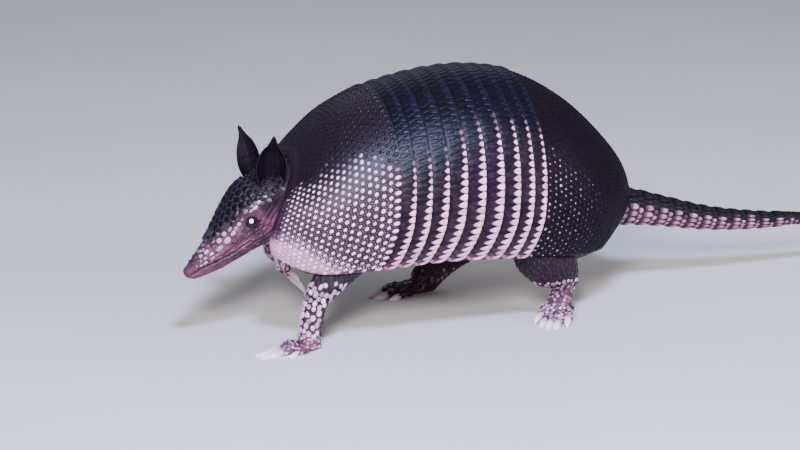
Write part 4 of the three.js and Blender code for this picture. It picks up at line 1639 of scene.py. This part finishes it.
@dataclass
class Crease:
    """A fold of the skin along a line, with painted shade in its groove.

    Args:
        line: Points of the line, in metres.
        width: Half its width, in millimetres.
        depth: Its depth, in millimetres.
        lip: Height of the swelling on both sides, in its depths.
    """

    line: Array
    width: float
    depth: float
    lip: float = 0.45

    def press(self, points: Array, push: Array, shade: Array) -> None:
        """Adds the fold to how far each point is pushed out, in millimetres, and to its painted crease shade.
        """
        low, high = self.line.min(axis=0) - 4 * self.width * MM, self.line.max(axis=0) + 4 * self.width * MM
        near = np.flatnonzero(np.all((points > low) & (points < high), axis=1))
        if len(near) == 0:
            return
        gap = np.full(len(near), 1.0)
        for point in self.line:
            np.minimum(gap, ((points[near] - point) ** 2).sum(axis=1), out=gap)
        gap = np.sqrt(gap) / MM / self.width
        groove = np.exp(-gap ** 2)
        push[near] += self.depth * (self.lip * np.exp(-((gap - 2.0) ** 2)) - groove)
        # Painted shade in the groove.
        shade[near] = np.maximum(shade[near], groove * 0.8)


# The mouth's line: stations and degrees from the top. The nostril: station, degrees, height over the face.
MOUTH_LINE = ((-247, 84), (-243, 80), (-237, 82), (-229, 94), (-218, 106), (-206, 114))
NOSTRIL = (-247.2, 62.0, -3.2)
# Folds round the eye: radius and depth in millimetres.
EYE_FOLDS = ((7.6, 0.45), (9.6, 0.3))
# Folds of the cheeks and the jaw: degrees from the top, first and last station, depth.
CHEEK_FOLDS = (
    (91, -222, -204, 0.3), (99, -214, -194, 0.35), (107, -208, -190, 0.35), (122, -214, -186, 0.4),
    (134, -224, -184, 0.45), (150, -226, -184, 0.4),
)


@dataclass
class Skin:
    """The bare hide: head, neck, trunk, legs and feet as one closed surface."""

    voxel: float = 0.95
    inset: float = 0.4
    lid: tuple[float, float] = (5.2, 1.55)

    def head(self) -> list[Piece]:
        """Models the head with the neck, and the lids.

        Returns:
            The parts.
        """
        stations = np.concatenate([np.linspace(-244.6, CROWN_REAR, 46), np.linspace(-181, NECK_REAR, 26)])
        degrees = np.arange(72) * 5.0
        rings = np.array([HEAD.at(np.full(72, u), degrees, -self.inset) for u in stations])
        pieces = [tube(rings, (0.62, 0.1))]
        for side in Side:
            pieces.append(self.lids(side))
        return pieces

    def lids(self, side: Side) -> Piece:
        """Models the ring of both lids round one eye."""
        Bench.deselect()
        major, minor = self.lid
        bpy.ops.mesh.primitive_torus_add(major_segments=40, minor_segments=16, major_radius=major * MM,
                                         minor_radius=minor * MM)
        piece = bpy.context.object
        points = Bench.points(piece)
        points[:, 0] *= 1.12
        centre, axes = eye_place(side)
        Bench.move(piece, centre + axes[2] * 1.4 * MM + points @ axes)
        return piece

    def trunk(self) -> Piece:
        """Models the trunk.

        Returns:
            The part.
        """
        stations = np.linspace(TRUNK_FRONT + 1, TRUNK_REAR - 1, 40)
        rings = np.array([SHELL.body_ring(u, -FLESH_UNDER_SHELL - self.inset, 72, 28) for u in stations])
        return tube(rings, (0.05, 0.05))

    def leg(self, limb: Limb) -> Piece:
        """Models one leg."""
        rows = np.array(limb.path)
        place = np.arange(len(rows), dtype=float)
        t = np.linspace(0, len(rows) - 1, 30)
        middle = np.stack([Track(place, rows[:, k])(t) for k in range(3)], axis=-1)
        half = np.stack([Track(place, rows[:, k])(t) for k in (3, 4)], axis=-1) - self.inset
        rings = rings_along(middle, np.gradient(middle, axis=0), half, 32)
        return tube(in_metres(rings), (0.2, 0.5))

    def foot(self, limb: Limb) -> list[Piece]:
        """Models the sole and the toes of one foot."""
        length, half_width, height = limb.sole
        t = np.linspace(0, 1, 14)
        swell = np.sqrt(np.maximum(0.12, np.sin(np.pi * mix(0.08, 0.8, t))))
        half = beside(half_width * mix(0.72, 1, t), height / 2 * mix(1.08, 0.72, t))
        half = half * swell[:, None] - self.inset
        middle = beside(mix(-length, 0, t), 0 * t, half[:, 1] - 0.3)
        rings = rings_along(middle, np.tile([1.0, 0, 0], (14, 1)), half, 28)
        solids = [limb.raised(rings, limb.heel)]
        for toe in limb.toes:
            start, knuckle, tip, _, _ = limb.toe_path(toe)
            r = toe.radius - self.inset
            path = np.array([start, mix(start, knuckle, 0.5), knuckle, mix(knuckle, tip, 0.55), tip])
            wide = np.array([0.9, 0.98, 1.04, 0.93, 0.84]) * r
            high = np.array([0.9, 0.96, 1.06, 0.92, 0.78]) * r
            solids.append(rings_along(path, np.gradient(path, axis=0), beside(wide, high), 20))
        return [tube(in_metres(limb.placed(rings)), (0.4, 0.45)) for rings in solids]

    def rough(self) -> Piece:
        """Joins all parts into one closed surface.

        Returns:
            The surface.
        """
        pieces = [*self.head(), self.trunk()]
        for limb in LIMBS:
            pieces += [self.leg(limb), *self.foot(limb)]
        skin = Bench.join(pieces, "hide")
        Bench.outwards(skin)
        Bench.modifier(skin, "REMESH", mode="VOXEL", voxel_size=self.voxel * MM)
        Bench.modifier(skin, "SMOOTH", factor=0.5, iterations=5)
        return skin

    def stay_under(self, points: Array) -> None:
        """Keeps the skin below the plates of the shell, and its soles on the floor."""
        n = 81
        shares = np.meshgrid(np.linspace(SHELL_FRONT, SHELL_REAR, n), np.linspace(-1, 1, n), indexing="ij")
        grid = SHELL.at(*shares, -PLATE - 0.5).reshape(-1, 3)
        corner = (np.arange(n - 1)[:, None] * n + np.arange(n - 1)).reshape(-1, 1)
        tree = BVHTree.FromPolygons(grid.tolist(), (corner + (0, 1, n + 1, n)).tolist())
        centre = in_frame(-30, 0, 90)
        for i in np.flatnonzero((points[:, 2] > 0.045) & (points[:, 0] > in_frame(SHELL_FRONT + 2, 0, 0)[0])):
            hit, normal, _, _ = tree.find_nearest(points[i], 0.02)
            if hit is None:
                continue
            hit, normal = np.array(hit), np.array(normal)
            step = points[i] - hit
            rise = step @ normal * np.sign(normal @ (hit - centre))
            if rise > 0 and np.linalg.norm(step) < rise * 1.05 + 1e-7:
                points[i] = hit
        points[:, 2] = np.maximum(points[:, 2], FLOOR_GAP * MM)

    def creases(self) -> list[Crease]:
        """Lists the folds of the head and the mouth.

        Returns:
            The folds.
        """
        made = []
        for side in Side:
            u = np.linspace(MOUTH_LINE[0][0], MOUTH_LINE[-1][0], 110)
            gape = np.interp(u, *np.transpose(MOUTH_LINE))
            made.append(Crease(HEAD.at(u, side.value * gape, -self.inset), 0.85, 1.25, 0.8))
            for degrees, start, stop, depth in CHEEK_FOLDS:
                u = np.linspace(start, stop, 60)
                wave = 2.5 * np.sin((u + degrees) / 7.0)
                made.append(Crease(HEAD.at(u, side.value * (degrees + wave), -self.inset), 0.8, depth))
            u, degrees, out = NOSTRIL
            nostril = HEAD.at(np.array([u]), np.array([side.value * degrees]), out)
            made.append(Crease(nostril, 1.5, 2.2, 0.3))
            centre, axes = eye_place(side)
            centre = centre + axes[2] * MM
            for radius, depth in EYE_FOLDS:
                turn = np.radians(np.linspace(-200, 20, 60))
                ring = beside(np.cos(turn) * 1.12, np.sin(turn), 0 * turn) * radius * MM
                made.append(Crease(centre + ring @ axes, 0.7, depth))
        return made

    def neck_folds(self, points: Array, push: Array, shade: Array) -> None:
        """Adds the rings of loose skin between the head and the shoulder shield, with painted shade in their
        grooves.
        """
        x, y, z = in_stations(points)
        place = (x + 184) * 0.89 - (z - 104) * 0.45
        place += 0.9 * np.sin(z / 8.0) + 0.5 * np.sin(z / 3.1 + np.abs(y) / 5)
        turn = np.degrees(np.arctan2(np.abs(y), z - 112))
        zone = smooth(-10, -3, place) * smooth(40, 70, turn) * smooth(150, 120, turn)
        zone *= (x < -145) * (x > -215)
        wave = np.mod(place, 3.9) / 3.9
        groove = np.exp(-(((wave - 0.5) / 0.16) ** 2))
        push += zone * 0.6 * (0.35 * np.cos(2 * np.pi * wave) - groove)
        # Painted shade in the grooves.
        np.maximum(shade, zone * groove * 0.55, out=shade)

    def leg_folds(self, points: Array, push: Array, shade: Array) -> None:
        """Adds shallow cross folds on legs and toes, with painted shade in their grooves."""
        x, y, z = (points / MM).T
        low = smooth(62, 46, z)
        wave = np.mod(z * 0.9 + 0.35 * x + 1.2 * np.sin(y / 4), 5.2) / 5.2
        groove = np.exp(-(((wave - 0.5) / 0.12) ** 2))
        zone = low * smooth(8, 14, z)
        push -= zone * groove * 0.22
        # Painted shade in the grooves.
        np.maximum(shade, zone * groove * 0.2, out=shade)

    def tint(self, points: Array) -> Array:
        """How pink the skin is at each point, from 0 to 1."""
        x, y, z = in_stations(points)
        along, up = head_place(x, z)
        head = np.interp(along, (-4, 4, 14, 34, 60, 84, 100), (0.36, 0.42, 0.48, 0.46, 0.52, 0.62, 0.85))
        head = head - 0.26 * smooth(2, 14, up) - 0.18 * smooth(-10, -28, up)
        turn = np.degrees(np.arctan2(np.abs(y), up))
        off_ear = smooth(12, 30, ear_gap(x, y, z, 2.0))
        head = head * off_ear * mix(1.0, smooth(58, 92, turn), smooth(84, 94, along))
        # Pale pink low on the legs, darker higher up; the darkening under the shell is painted shade.
        body = np.interp(z, (0, 12, 26, 44, 60, 75), (0.46, 0.40, 0.18, -0.02, -0.12, -0.12))
        body = np.where((y > 0) & (x < -120), 0.45, body)
        return np.where(on_head(x, y, z), head, body)

    def build(self) -> Piece:
        """Builds the dressed skin.

        Returns:
            The skin.
        """
        skin = self.rough()
        points = Bench.points(skin)
        normals = Bench.read(skin.data.vertices, "normal")
        push, shade = np.zeros(len(points)), np.zeros(len(points))
        for crease in self.creases():
            crease.press(points, push, shade)
        self.neck_folds(points, push, shade)
        self.leg_folds(points, push, shade)
        # Painted shade round each eye: full on the lids, fading outwards.
        for side in Side:
            gap = np.linalg.norm(points - eye_place(side)[0], axis=1) / MM
            np.maximum(shade, np.maximum(smooth(7.5, 6.2, gap), 0.5 * smooth(15, 6.8, gap)), out=shade)
        points += normals * (push * MM)[:, None]
        self.stay_under(points)
        Bench.move(skin, points)
        hidden = skin.vertex_groups.new(name="hidden")
        x, z = points[:, 0] / MM + ORIGIN_X, points[:, 2] / MM
        inner = (x > -150) & (z > 48) & (np.abs(points[:, 1]) < 0.03)
        inside = np.flatnonzero((z > 62) & (x > -140) | inner)
        hidden.add(inside.tolist(), 1.0, "REPLACE")
        # The painted shade is stored as the hide's crest.
        Bench.write(skin, "crest", shade)
        faces = len(skin.data.polygons)
        share = max(0.02, 1 - 0.97 * len(inside) / len(points))
        Bench.modifier(skin, "DECIMATE", ratio=share, vertex_group="hidden", vertex_group_factor=10.0)
        log.info("hide: %d faces of %d kept", len(skin.data.polygons), faces)
        points = Bench.points(skin)
        Bench.write(skin, "pale", self.tint(points))
        Bench.shade(skin, 70)
        names = [name.format(part) for name in (limb.name for limb in LIMBS) for part in ("leg", "foot")]
        return dressed(skin, SKIN_LOOK, "skin", "head", "neck", "trunk", *names)


def head_place(x: Array, z: Array) -> tuple[Array, Array]:
    """Place along the head from the snout's tip, and above its middle line, in millimetres."""
    return (x + 246) * 0.74 + (z - 60) * 0.67, (z - 60) * 0.74 - (x + 246) * 0.67


def on_head(x: Array, y: Array, z: Array) -> Array:
    """Whether points belong to the head and the neck."""
    return (x < -160) & (z > 50) & ((z > 76) | (np.abs(y) < 28)) | (x < -205)


def ear_gap(x: Array, y: Array, z: Array, below: float = 0.0) -> Array:
    """Distance from the nearer ear's root, or from a place below it, in millimetres."""
    return np.sqrt((x - EAR_ROOT[0]) ** 2 + (np.abs(y) - EAR_ROOT[1]) ** 2 + (z - (EAR_ROOT[2] - below)) ** 2)


def eye_place(side: Side) -> tuple[Array, Array]:
    """Where an eye sits.

    Args:
        side: Which eye.

    Returns:
        Its centre in metres, and three square directions: backwards along the face, up across it, outwards.
    """
    centre = in_frame(EYE_CENTRE[0], side.value * EYE_CENTRE[1], EYE_CENTRE[2])
    outwards = unit(np.array([-0.33, side.value * 0.9, 0.2]))
    along = np.array([0.72, 0.0, 0.69])
    along = unit(along - outwards * (along @ outwards))
    return centre, np.array([along, np.cross(outwards, along), outwards])


# ---- eyes, ears and claws


@dataclass
class Eye:
    """One eye: a wet black ball with painted eyeshine: its pupil is a white disc that glows."""

    side: Side
    # Radius of the disc of painted eyeshine, in millimetres.
    pupil: float = 1.8

    def build(self) -> Piece:
        """Builds the dressed eye.

        Returns:
            The eye.
        """
        Bench.deselect()
        bpy.ops.mesh.primitive_uv_sphere_add(segments=40, ring_count=28, radius=EYE_RADIUS * MM)
        eye = bpy.context.object
        eye.name = f"eyeball_{self.side.word}"
        points = Bench.points(eye)
        facing = points[:, 2] / MM
        bulge = 0.35 * smooth(3.0, 4.6, facing)
        reach = np.hypot(points[:, 0], points[:, 1]) / MM
        # The pupil's disc carries the painted eyeshine.
        pupil = (facing > 0) * (1 - smooth(self.pupil - 0.25, self.pupil + 0.25, reach))
        points[:, 2] += bulge * MM
        centre, axes = eye_place(self.side)
        Bench.move(eye, centre + points @ axes)
        Bench.outwards(eye)
        Bench.write(eye, "pale", pupil)
        Bench.shade(eye, 80)
        return dressed(eye, EYE_LOOK, "eye", f"eye_{self.side.word}")


@dataclass
class Ear:
    """One ear: a leathery leaf curled into a funnel at its root."""

    side: Side
    lean: float
    height: float = 45.0
    half_width: float = 12.8
    thickness: float = 1.5

    @staticmethod
    def width(t: Array) -> Array:
        """Half width at height t, as a share of the widest place."""
        swell = np.sin(np.pi * np.minimum(1, t / 0.8) ** 0.9)
        return 0.62 + 0.38 * swell - 0.5 * np.maximum(0, (t - 0.45) / 0.55) ** 2

    def build(self) -> Piece:
        """Builds the dressed ear.

        Returns:
            The ear.
        """
        root = np.array(EAR_ROOT) * (1, self.side.value, 1)
        up = unit(np.array([self.lean, self.side.value * 0.3, 1.0]))
        facing = np.array([-0.55, self.side.value * 0.9, 0.0])
        facing = unit(facing - up * (facing @ up))
        across = np.cross(up, facing)
        form = Forms.slab(56, 56)
        x, y, z = form.points.T
        t, share = y, 2 * x - 1
        rim = np.minimum(1 - np.abs(share), (1 - t) * 1.6)
        curl = np.radians(mix(105, 38, t ** 0.7))
        radius = self.half_width * self.width(t) / np.sin(np.minimum(curl, np.pi / 2))
        thick = self.thickness * (0.42 + 0.30 * np.exp(-(((rim - 0.06) / 0.05) ** 2)))
        thick *= smooth(-0.03, 0.05, rim)
        ribs = 0.18 * np.sin(share * 16 + 2.5 * np.sin(3 * t)) * smooth(0.02, 0.2, rim) * smooth(0.05, 0.3, t)
        rows = 0.12 * np.sin(t * 46) * smooth(0.1, 0.35, rim)
        out = np.where(z > 0.5, thick, -thick) + ribs + np.where(z > 0.5, rows, 0)
        point = 1 - 0.10 * np.abs(share) ** 2.2 * smooth(0.62, 1.0, t)
        r = radius + out * (1 - 0.4 * np.abs(share))
        angle = share * curl
        points = (root + up * (self.height * t * point)[:, None] + across * (r * np.sin(angle))[:, None]
                  + facing * (radius * 0.6 - r * np.cos(angle))[:, None])
        coat = Coat()
        flat = beside(x, mix(y * 0.49, 0.51 + 0.49 * y, z))
        pale = 0.4 * smooth(0.14, 0.0, rim) + 0.1 * (z < 0.5)
        coat.add(form, in_frame(*points.T)[None], pale[None], 0.5, flat[None])
        ear = coat.piece(f"ear_leaf_{self.side.word}", 70)
        return dressed(ear, EAR_LOOK, "ear", f"ear_{self.side.word}")


@dataclass
class Claws:
    """All claws of the four feet."""

    rows: int = 14
    around: int = 14

    def build(self) -> Piece:
        """Builds the dressed claws.

        Returns:
            The claws as one piece.
        """
        pieces, names = [], []
        for limb in LIMBS:
            for number, toe in enumerate(limb.toes, 1):
                t = np.linspace(-0.10, 0.955, self.rows)
                middle, forward = limb.claw_path(toe, t)
                radius = toe.root * (1 - np.clip(t, 0, 1) ** 2) ** 0.7 * 0.97
                swell = 1.0 + 0.35 * np.sin(np.pi * np.clip(t, 0, 1))
                half = beside(radius * 0.85 * swell, radius * swell)
                rings = rings_along(middle, forward, half, self.around)
                low = middle[:, None, 2] - radius[:, None] * 0.62
                rings[..., 2] = np.maximum(rings[..., 2], low)
                piece = tube(in_metres(limb.placed(rings)), (0.1, 0.9))
                start = in_metres(limb.placed(middle[0]))
                level = np.linalg.norm(Bench.points(piece) - start, axis=1) / MM / toe.claw
                Bench.write(piece, "pale", np.clip(level * 1.3 - 0.1, 0, 1))
                pieces.append(piece)
                names.append(f"{limb.name.format('claw')}_{number}")
        claws = Bench.join(pieces, "claws")
        points = Bench.points(claws)
        points[:, 2] = np.maximum(points[:, 2], 0.0001)
        Bench.move(claws, points)
        Bench.outwards(claws)
        Bench.shade(claws, 60)
        return dressed(claws, CLAW_LOOK, "claw", *names)


# ---- scales on the hide


@dataclass(frozen=True)
class Patch:
    """One kind of scale and where on the hide it grows.

    Args:
        name: The patch's name.
        spacing: Distance between neighbours, in millimetres.
        size: Half breadth of a scale, in spacings.
        stretch: Its length, in breadths.
        rise: Its height, in millimetres.
        pale: How pale it is, from 0 to 1.
        spread: How much that varies.
        reach: How far its top leans over, in millimetres.
    """

    name: str
    spacing: float
    size: float
    stretch: float
    rise: float
    pale: float
    spread: float
    reach: float = 0.0


class Hide(Enum):
    """The patches of the hide."""

    CHEEK = Patch("cheek", 3.1, 0.30, 2.2, 0.10, 0.20, 0.06)
    THROAT = Patch("throat", 3.4, 0.30, 1.4, 0.2, 0.18, 0.06)
    # Dark, partly as painted shade under the shell.
    THIGH = Patch("thigh", 3.7, 0.45, 1.2, 0.45, -0.12, 0.05)
    FOREARM = Patch("forearm", 4.2, 0.57, 1.2, 0.9, 0.66, 0.16)
    SHANK = Patch("shank", 3.3, 0.53, 1.2, 0.75, 0.36, 0.16)
    PAW = Patch("paw", 2.8, 0.52, 1.3, 0.6, 0.46, 0.18)
    # Dark, as painted shade under the shell.
    BELLY = Patch("belly", 5.2, 0.27, 1.4, 0.45, 0.12, 0.08)
    BEARD = Patch("beard", 3.2, 0.036, 1.0, 1.3, 0.36, 0.12, 4.2)
    HAIR = Patch("hair", 6.0, 0.026, 1.0, 2.2, 0.25, 0.10, 6.0)


@dataclass
class HideScales:
    """Horny scales that stand on the bare hide, each following the way the hide lies.

    Args:
        skin: The hide.
        seed: Seeds the scales' places and tints.
    """

    skin: Piece
    seed: int = SEED + 71

    @staticmethod
    def kind(x: Array, y: Array, z: Array, normals: Array) -> dict[Hide, Array]:
        """Where each patch grows, for points in millimetres of the stations."""
        along, up = head_place(x, z)
        head = on_head(x, y, z)
        side = np.abs(y)
        turn = np.degrees(np.arctan2(side, up))
        crown = (x > CROWN_FRONT - 1.5 + 0.75 * np.maximum(up - 14, 0)) & (along < 92)
        crown &= turn < CROWN_HALF_ANGLE + 5
        eye = np.sqrt(sum((a - b) ** 2 for a, b in zip((x, side, z), EYE_CENTRE)))
        free = head & ~crown & (eye > 8.2) & (ear_gap(x, y, z) > 13) & (along > 3.5)
        low = ~head & (z < 80) & (z > 1.2)
        legs = low & ((side > 24) | (z < 44))
        forearm = legs & ((z < 57) & (normals[:, 0] < 0.35) | (y > 0)) & (x < -120)
        shank = legs & (z < 35) & (x > 40)
        lifted = (x > -182) & (x < -140) & (y > 25) & (z < 50)
        paw = legs & ((z < 13) | lifted | (z < 22) & (x > -60) & (y > 0))
        jaw = (along > 14) & (turn > 128)
        return {
            Hide.CHEEK: free & (turn >= 84) & (turn < 128) & (along > 16) & (along < 74),
            Hide.THROAT: free & jaw & (along < 90),
            Hide.PAW: paw & (normals[:, 2] > -0.55),
            Hide.FOREARM: forearm & ~paw,
            Hide.SHANK: shank & ~paw,
            Hide.THIGH: legs & ~shank & ~forearm & ~paw,
            Hide.BELLY: low & ~legs & (normals[:, 2] < -0.5) & (x > -150) & (x < 110),
            Hide.BEARD: free & (turn > 116) & (along > 24) & (along < 92),
            Hide.HAIR: low & ~legs & (x > -150) & (x < 110) & (normals[:, 2] < -0.3),
        }

    @staticmethod
    def spread_out(points: Array, gap: float, rng: Random) -> Array:
        """Picks points that keep a distance from one another.

        Args:
            points: The choice, in millimetres.
            gap: The distance.
            rng: Draws their order.

        Returns:
            The picked points' indices.
        """
        cells: dict[tuple[int, int, int], list[int]] = {}
        keys = np.floor(points / gap).astype(int)
        near = list(product((-1, 0, 1), repeat=3))
        picked = []
        rows = points.tolist()
        for n in rng.permutation(len(points)).tolist():
            a, b, c = keys[n].tolist()
            others = (rows[m] for i, j, k in near for m in cells.get((a + i, b + j, c + k), ()))
            if all(math.dist(rows[n], other) >= gap for other in others):
                cells.setdefault((a, b, c), []).append(n)
                picked.append(n)
        return np.array(picked, int)

    @staticmethod
    def lie(x: Array, y: Array, z: Array) -> Array:
        """Which way the scales point: backwards on the head, down the legs, towards the toes on the feet."""
        head = on_head(x, y, z)[:, None]
        down = beside(0.25 * np.sin(x / 20), 0 * y, -np.ones_like(z))
        toes = beside(-np.ones_like(x), 0 * y, -0.4 * np.ones_like(z))
        body = np.where((z < 13)[:, None], toes, down)
        return np.where(head, np.array([0.74, 0.0, 0.67]), body)

    @staticmethod
    def flat(x: Array, y: Array, z: Array) -> Array:
        """The roots' places on an unwrap of the hide: the head, then legs, feet and belly."""
        along, up = head_place(x, z)
        head = beside(0.01 + along / 240, 0.52 + 0.47 * (np.arctan2(y, up) / (2 * np.pi) + 0.5))
        number = (x > -60).astype(int) * 2 + (y > 0).astype(int)
        middle_x = np.interp(z, (0, 40, 80), (-160, -152, -125))
        middle_x = np.where(x > -60, np.interp(z, (0, 40, 80), (60, 64, 66)), middle_x)
        around = np.arctan2(np.abs(y) - 53, x - middle_x) / (2 * np.pi) + 0.5
        leg = beside(0.52 + 0.12 * number + 0.11 * around, 0.52 + z / 190)
        foot = beside(0.01 + (x + 210) / 760, 0.01 + 0.47 * (y + 100) / 200)
        body = np.where((z < 13)[:, None], foot, leg)
        return np.clip(np.where(on_head(x, y, z)[:, None], head, body), 0.003, 0.997)

    def grow(self, coat: Coat, kind: Hide, points: Array, normals: Array, rng: Random) -> None:
        """Adds one patch's scales to a coat."""
        patch = kind.value
        picked = self.spread_out(points / MM, patch.spacing, rng)
        root, up = points[picked], normals[picked]
        x, y, z = in_stations(root)
        lie = self.lie(x, y, z)
        lie -= up * (lie * up).sum(axis=1, keepdims=True)
        lie /= np.maximum(np.linalg.norm(lie, axis=1, keepdims=True), 1e-6)
        across = np.cross(up, lie)
        n = len(root)
        form = Forms.dome(7, 1.0, 2, 0.5)
        fx, fy, fz = form.points.T
        size = patch.spacing * patch.size * rng.normal(1, 0.10, n)
        wobble = 1 + rng.normal(0, 0.10, (n, len(fx)))
        a = fx * wobble * (size * patch.stretch)[:, None] + fz * patch.reach * rng.uniform(0.6, 1.1, (n, 1))
        b = fy * wobble * size[:, None]
        c = fz * patch.rise + 0.16 * a * (fz > 0)
        steps = zip((a, b, c), (lie, across, up))
        place = root[:, None] + sum(step[..., None] * way[:, None] for step, way in steps) * MM
        pale = np.clip(patch.pale + rng.normal(0, patch.spread, n) + self.shift(kind, x, y, z, up), 0, 1)
        tone = tints(rng, 0.2, n)
        flat = self.flat(x, y, z)[:, None] + beside(fx, fy)[None] * 0.0015
        coat.add(form, place, pale, tone, flat)

    @staticmethod
    def shift(kind: Hide, x: Array, y: Array, z: Array, up: Array) -> Array:
        """How much paler or darker the scales are beside their patch's paleness."""
        if kind is Hide.THIGH:
            return 0.12 * smooth(38, 29, z)
        if kind is Hide.PAW:
            # The far hind paw is painted darker than the near one: painted shade.
            return np.where((y > 0) & (x > -60), -0.42, np.where((y > 0) & (z > 15), 0.15, 0.0))
        return np.zeros_like(x)

    @staticmethod
    def face(coat: Coat, rng: Random) -> None:
        """Adds the pale scales along both sides of the snout and over the eyes."""
        rows = np.array(FACE_ROWS)
        for side in Side:
            place = rows[:, :2] * np.array([1, side.value]) + rng.normal(0, (0.12, 0.6), (len(rows), 2))
            top = (rows[:, 0] > CROWN_FRONT) & (rows[:, 1] < CROWN_HALF_ANGLE + 2)
            pale = np.clip(0.72 * rows[:, 4] + rng.normal(0, 0.04, len(rows)), 0, 1)
            tone = tints(rng, 0.2, len(rows))
            half = rows[:, 2:4] * np.array([1.18, 1.02]) * rng.normal(1, 0.04, (len(rows), 1))
            form = Forms.dome(14, 0.75, 3, 0.8)
            face_scales(coat, form, place, half, np.where(top, 1.1, -0.15), pale, tone)

    def build(self) -> list[Piece]:
        """Builds the dressed scales of the head and of the legs.

        Returns:
            Both pieces.
        """
        rng = np.random.default_rng(self.seed)
        faces = self.skin.data.polygons
        centres, normals = Bench.read(faces, "center"), Bench.read(faces, "normal")
        kinds = self.kind(*in_stations(centres), normals)
        head = (Hide.CHEEK, Hide.THROAT, Hide.BEARD)
        made = []
        for name, group in (("head_scales", head), ("leg_scales", tuple(k for k in Hide if k not in head))):
            coat = Coat()
            if group is head:
                self.face(coat, rng)
            for kind in group:
                mask = kinds[kind]
                if mask.any():
                    self.grow(coat, kind, centres[mask], normals[mask], rng)
            made.append(dressed(coat.piece(name), HIDE_LOOK, "skin"))
        return made


# ---- camera, lights and floor


@dataclass(frozen=True)
class Studio:
    """The camera, the lamps and the floor."""

    azimuth: float = -23.0
    elevation: float = 15.0
    distance: float = 2.0
    lens: float = 106.0
    target: tuple[float, float, float] = ((-58.0 - ORIGIN_X) * MM, 0.0, 0.082)

    def camera(self) -> None:
        """Adds the camera."""
        a, e = math.radians(self.azimuth), math.radians(self.elevation)
        back = Vector((math.sin(a) * math.cos(e), -math.cos(a) * math.cos(e), math.sin(e)))
        data = bpy.data.cameras.new("camera")
        data.lens = self.lens
        data.sensor_width = 36.0
        data.clip_end = 50.0
        camera = bpy.data.objects.new("camera", data)
        bpy.context.scene.collection.objects.link(camera)
        camera.location = Vector(self.target) + back * self.distance
        camera.rotation_euler = back.to_track_quat("Z", "Y").to_euler()
        bpy.context.scene.camera = camera

    def lamp(self, name: str, place: Sequence[float], size: float, power: float, colour: Colour) -> None:
        """Adds a square soft lamp that looks at the animal.

        Args:
            name: The lamp's name.
            place: Where it stands, in metres.
            size: Its side, in metres.
            power: Its power, in watts.
            colour: Its colour.
        """
        data = bpy.data.lights.new(name, "AREA")
        data.size = size
        data.energy = power
        data.color = colour
        lamp = bpy.data.objects.new(name, data)
        bpy.context.scene.collection.objects.link(lamp)
        lamp.location = place
        aim = Vector(place) - Vector((-0.1, 0.0, 0.12))
        lamp.rotation_euler = aim.to_track_quat("Z", "Y").to_euler()

    def floor(self) -> None:
        """Adds the floor."""
        Bench.deselect()
        bpy.ops.mesh.primitive_plane_add(size=24.0)
        floor = bpy.context.object
        floor.name = "floor"
        floor.data.materials.append(FLOOR_LOOK.made())

    def world(self) -> None:
        """Sets a soft sky, darker towards the horizon."""
        world = bpy.data.worlds.new("studio")
        bpy.context.scene.world = world
        world.use_nodes = True
        nodes, links = world.node_tree.nodes, world.node_tree.links
        sky = nodes["Background"]
        sky.inputs["Color"].default_value = (0.86, 0.89, 1.0, 1.0)
        apart = nodes.new("ShaderNodeSeparateXYZ")
        height = nodes.new("ShaderNodeMapRange")
        for name, value in (("From Max", 0.8), ("To Min", 0.12), ("To Max", 0.32)):
            height.inputs[name].default_value = value
        links.new(nodes.new("ShaderNodeTexCoord").outputs["Generated"], apart.inputs[0])
        links.new(apart.outputs["Z"], height.inputs["Value"])
        links.new(height.outputs["Result"], sky.inputs["Strength"])

    def build(self) -> None:
        """Builds the whole studio."""
        self.camera()
        self.world()
        self.floor()
        self.lamp("key", (-1.15, -1.75, 1.15), 0.45, 74.0, (0.99, 0.95, 1.0))
        self.lamp("sheen", (-0.48, -1.22, 1.46), 0.24, 62.0, (0.50, 0.60, 1.0))
        self.lamp("fill", (1.5, -1.4, 0.9), 1.4, 28.0, (1.0, 0.94, 0.94))
        self.lamp("back", (0.3, 2.2, 1.9), 2.2, 10.0, (0.95, 0.97, 1.0))


def main() -> None:
    """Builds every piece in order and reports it."""
    logging.basicConfig(level=logging.INFO, format="%(name)s %(message)s")
    Studio().build()
    skin = Skin().build()
    HideScales(skin).build()
    Shield("shoulder_shield", "scapular_shield", BAND_START - GAP, SHELL_FRONT).build()
    for index in range(BANDS):
        Band(index).build()
    hip = Shield("hip_shield", "pelvic_shield", BAND_END + GAP, SHELL_REAR, 72, spot=0.17, look=HIP_LOOK)
    hip.build()
    HeadShield().build()
    Tail().build()
    for side, lean in ((Side.LEFT, -0.06), (Side.RIGHT, -0.32)):
        Eye(side).build()
        Ear(side, lean).build()
    Claws().build()


if __name__ == "__main__":
    main()
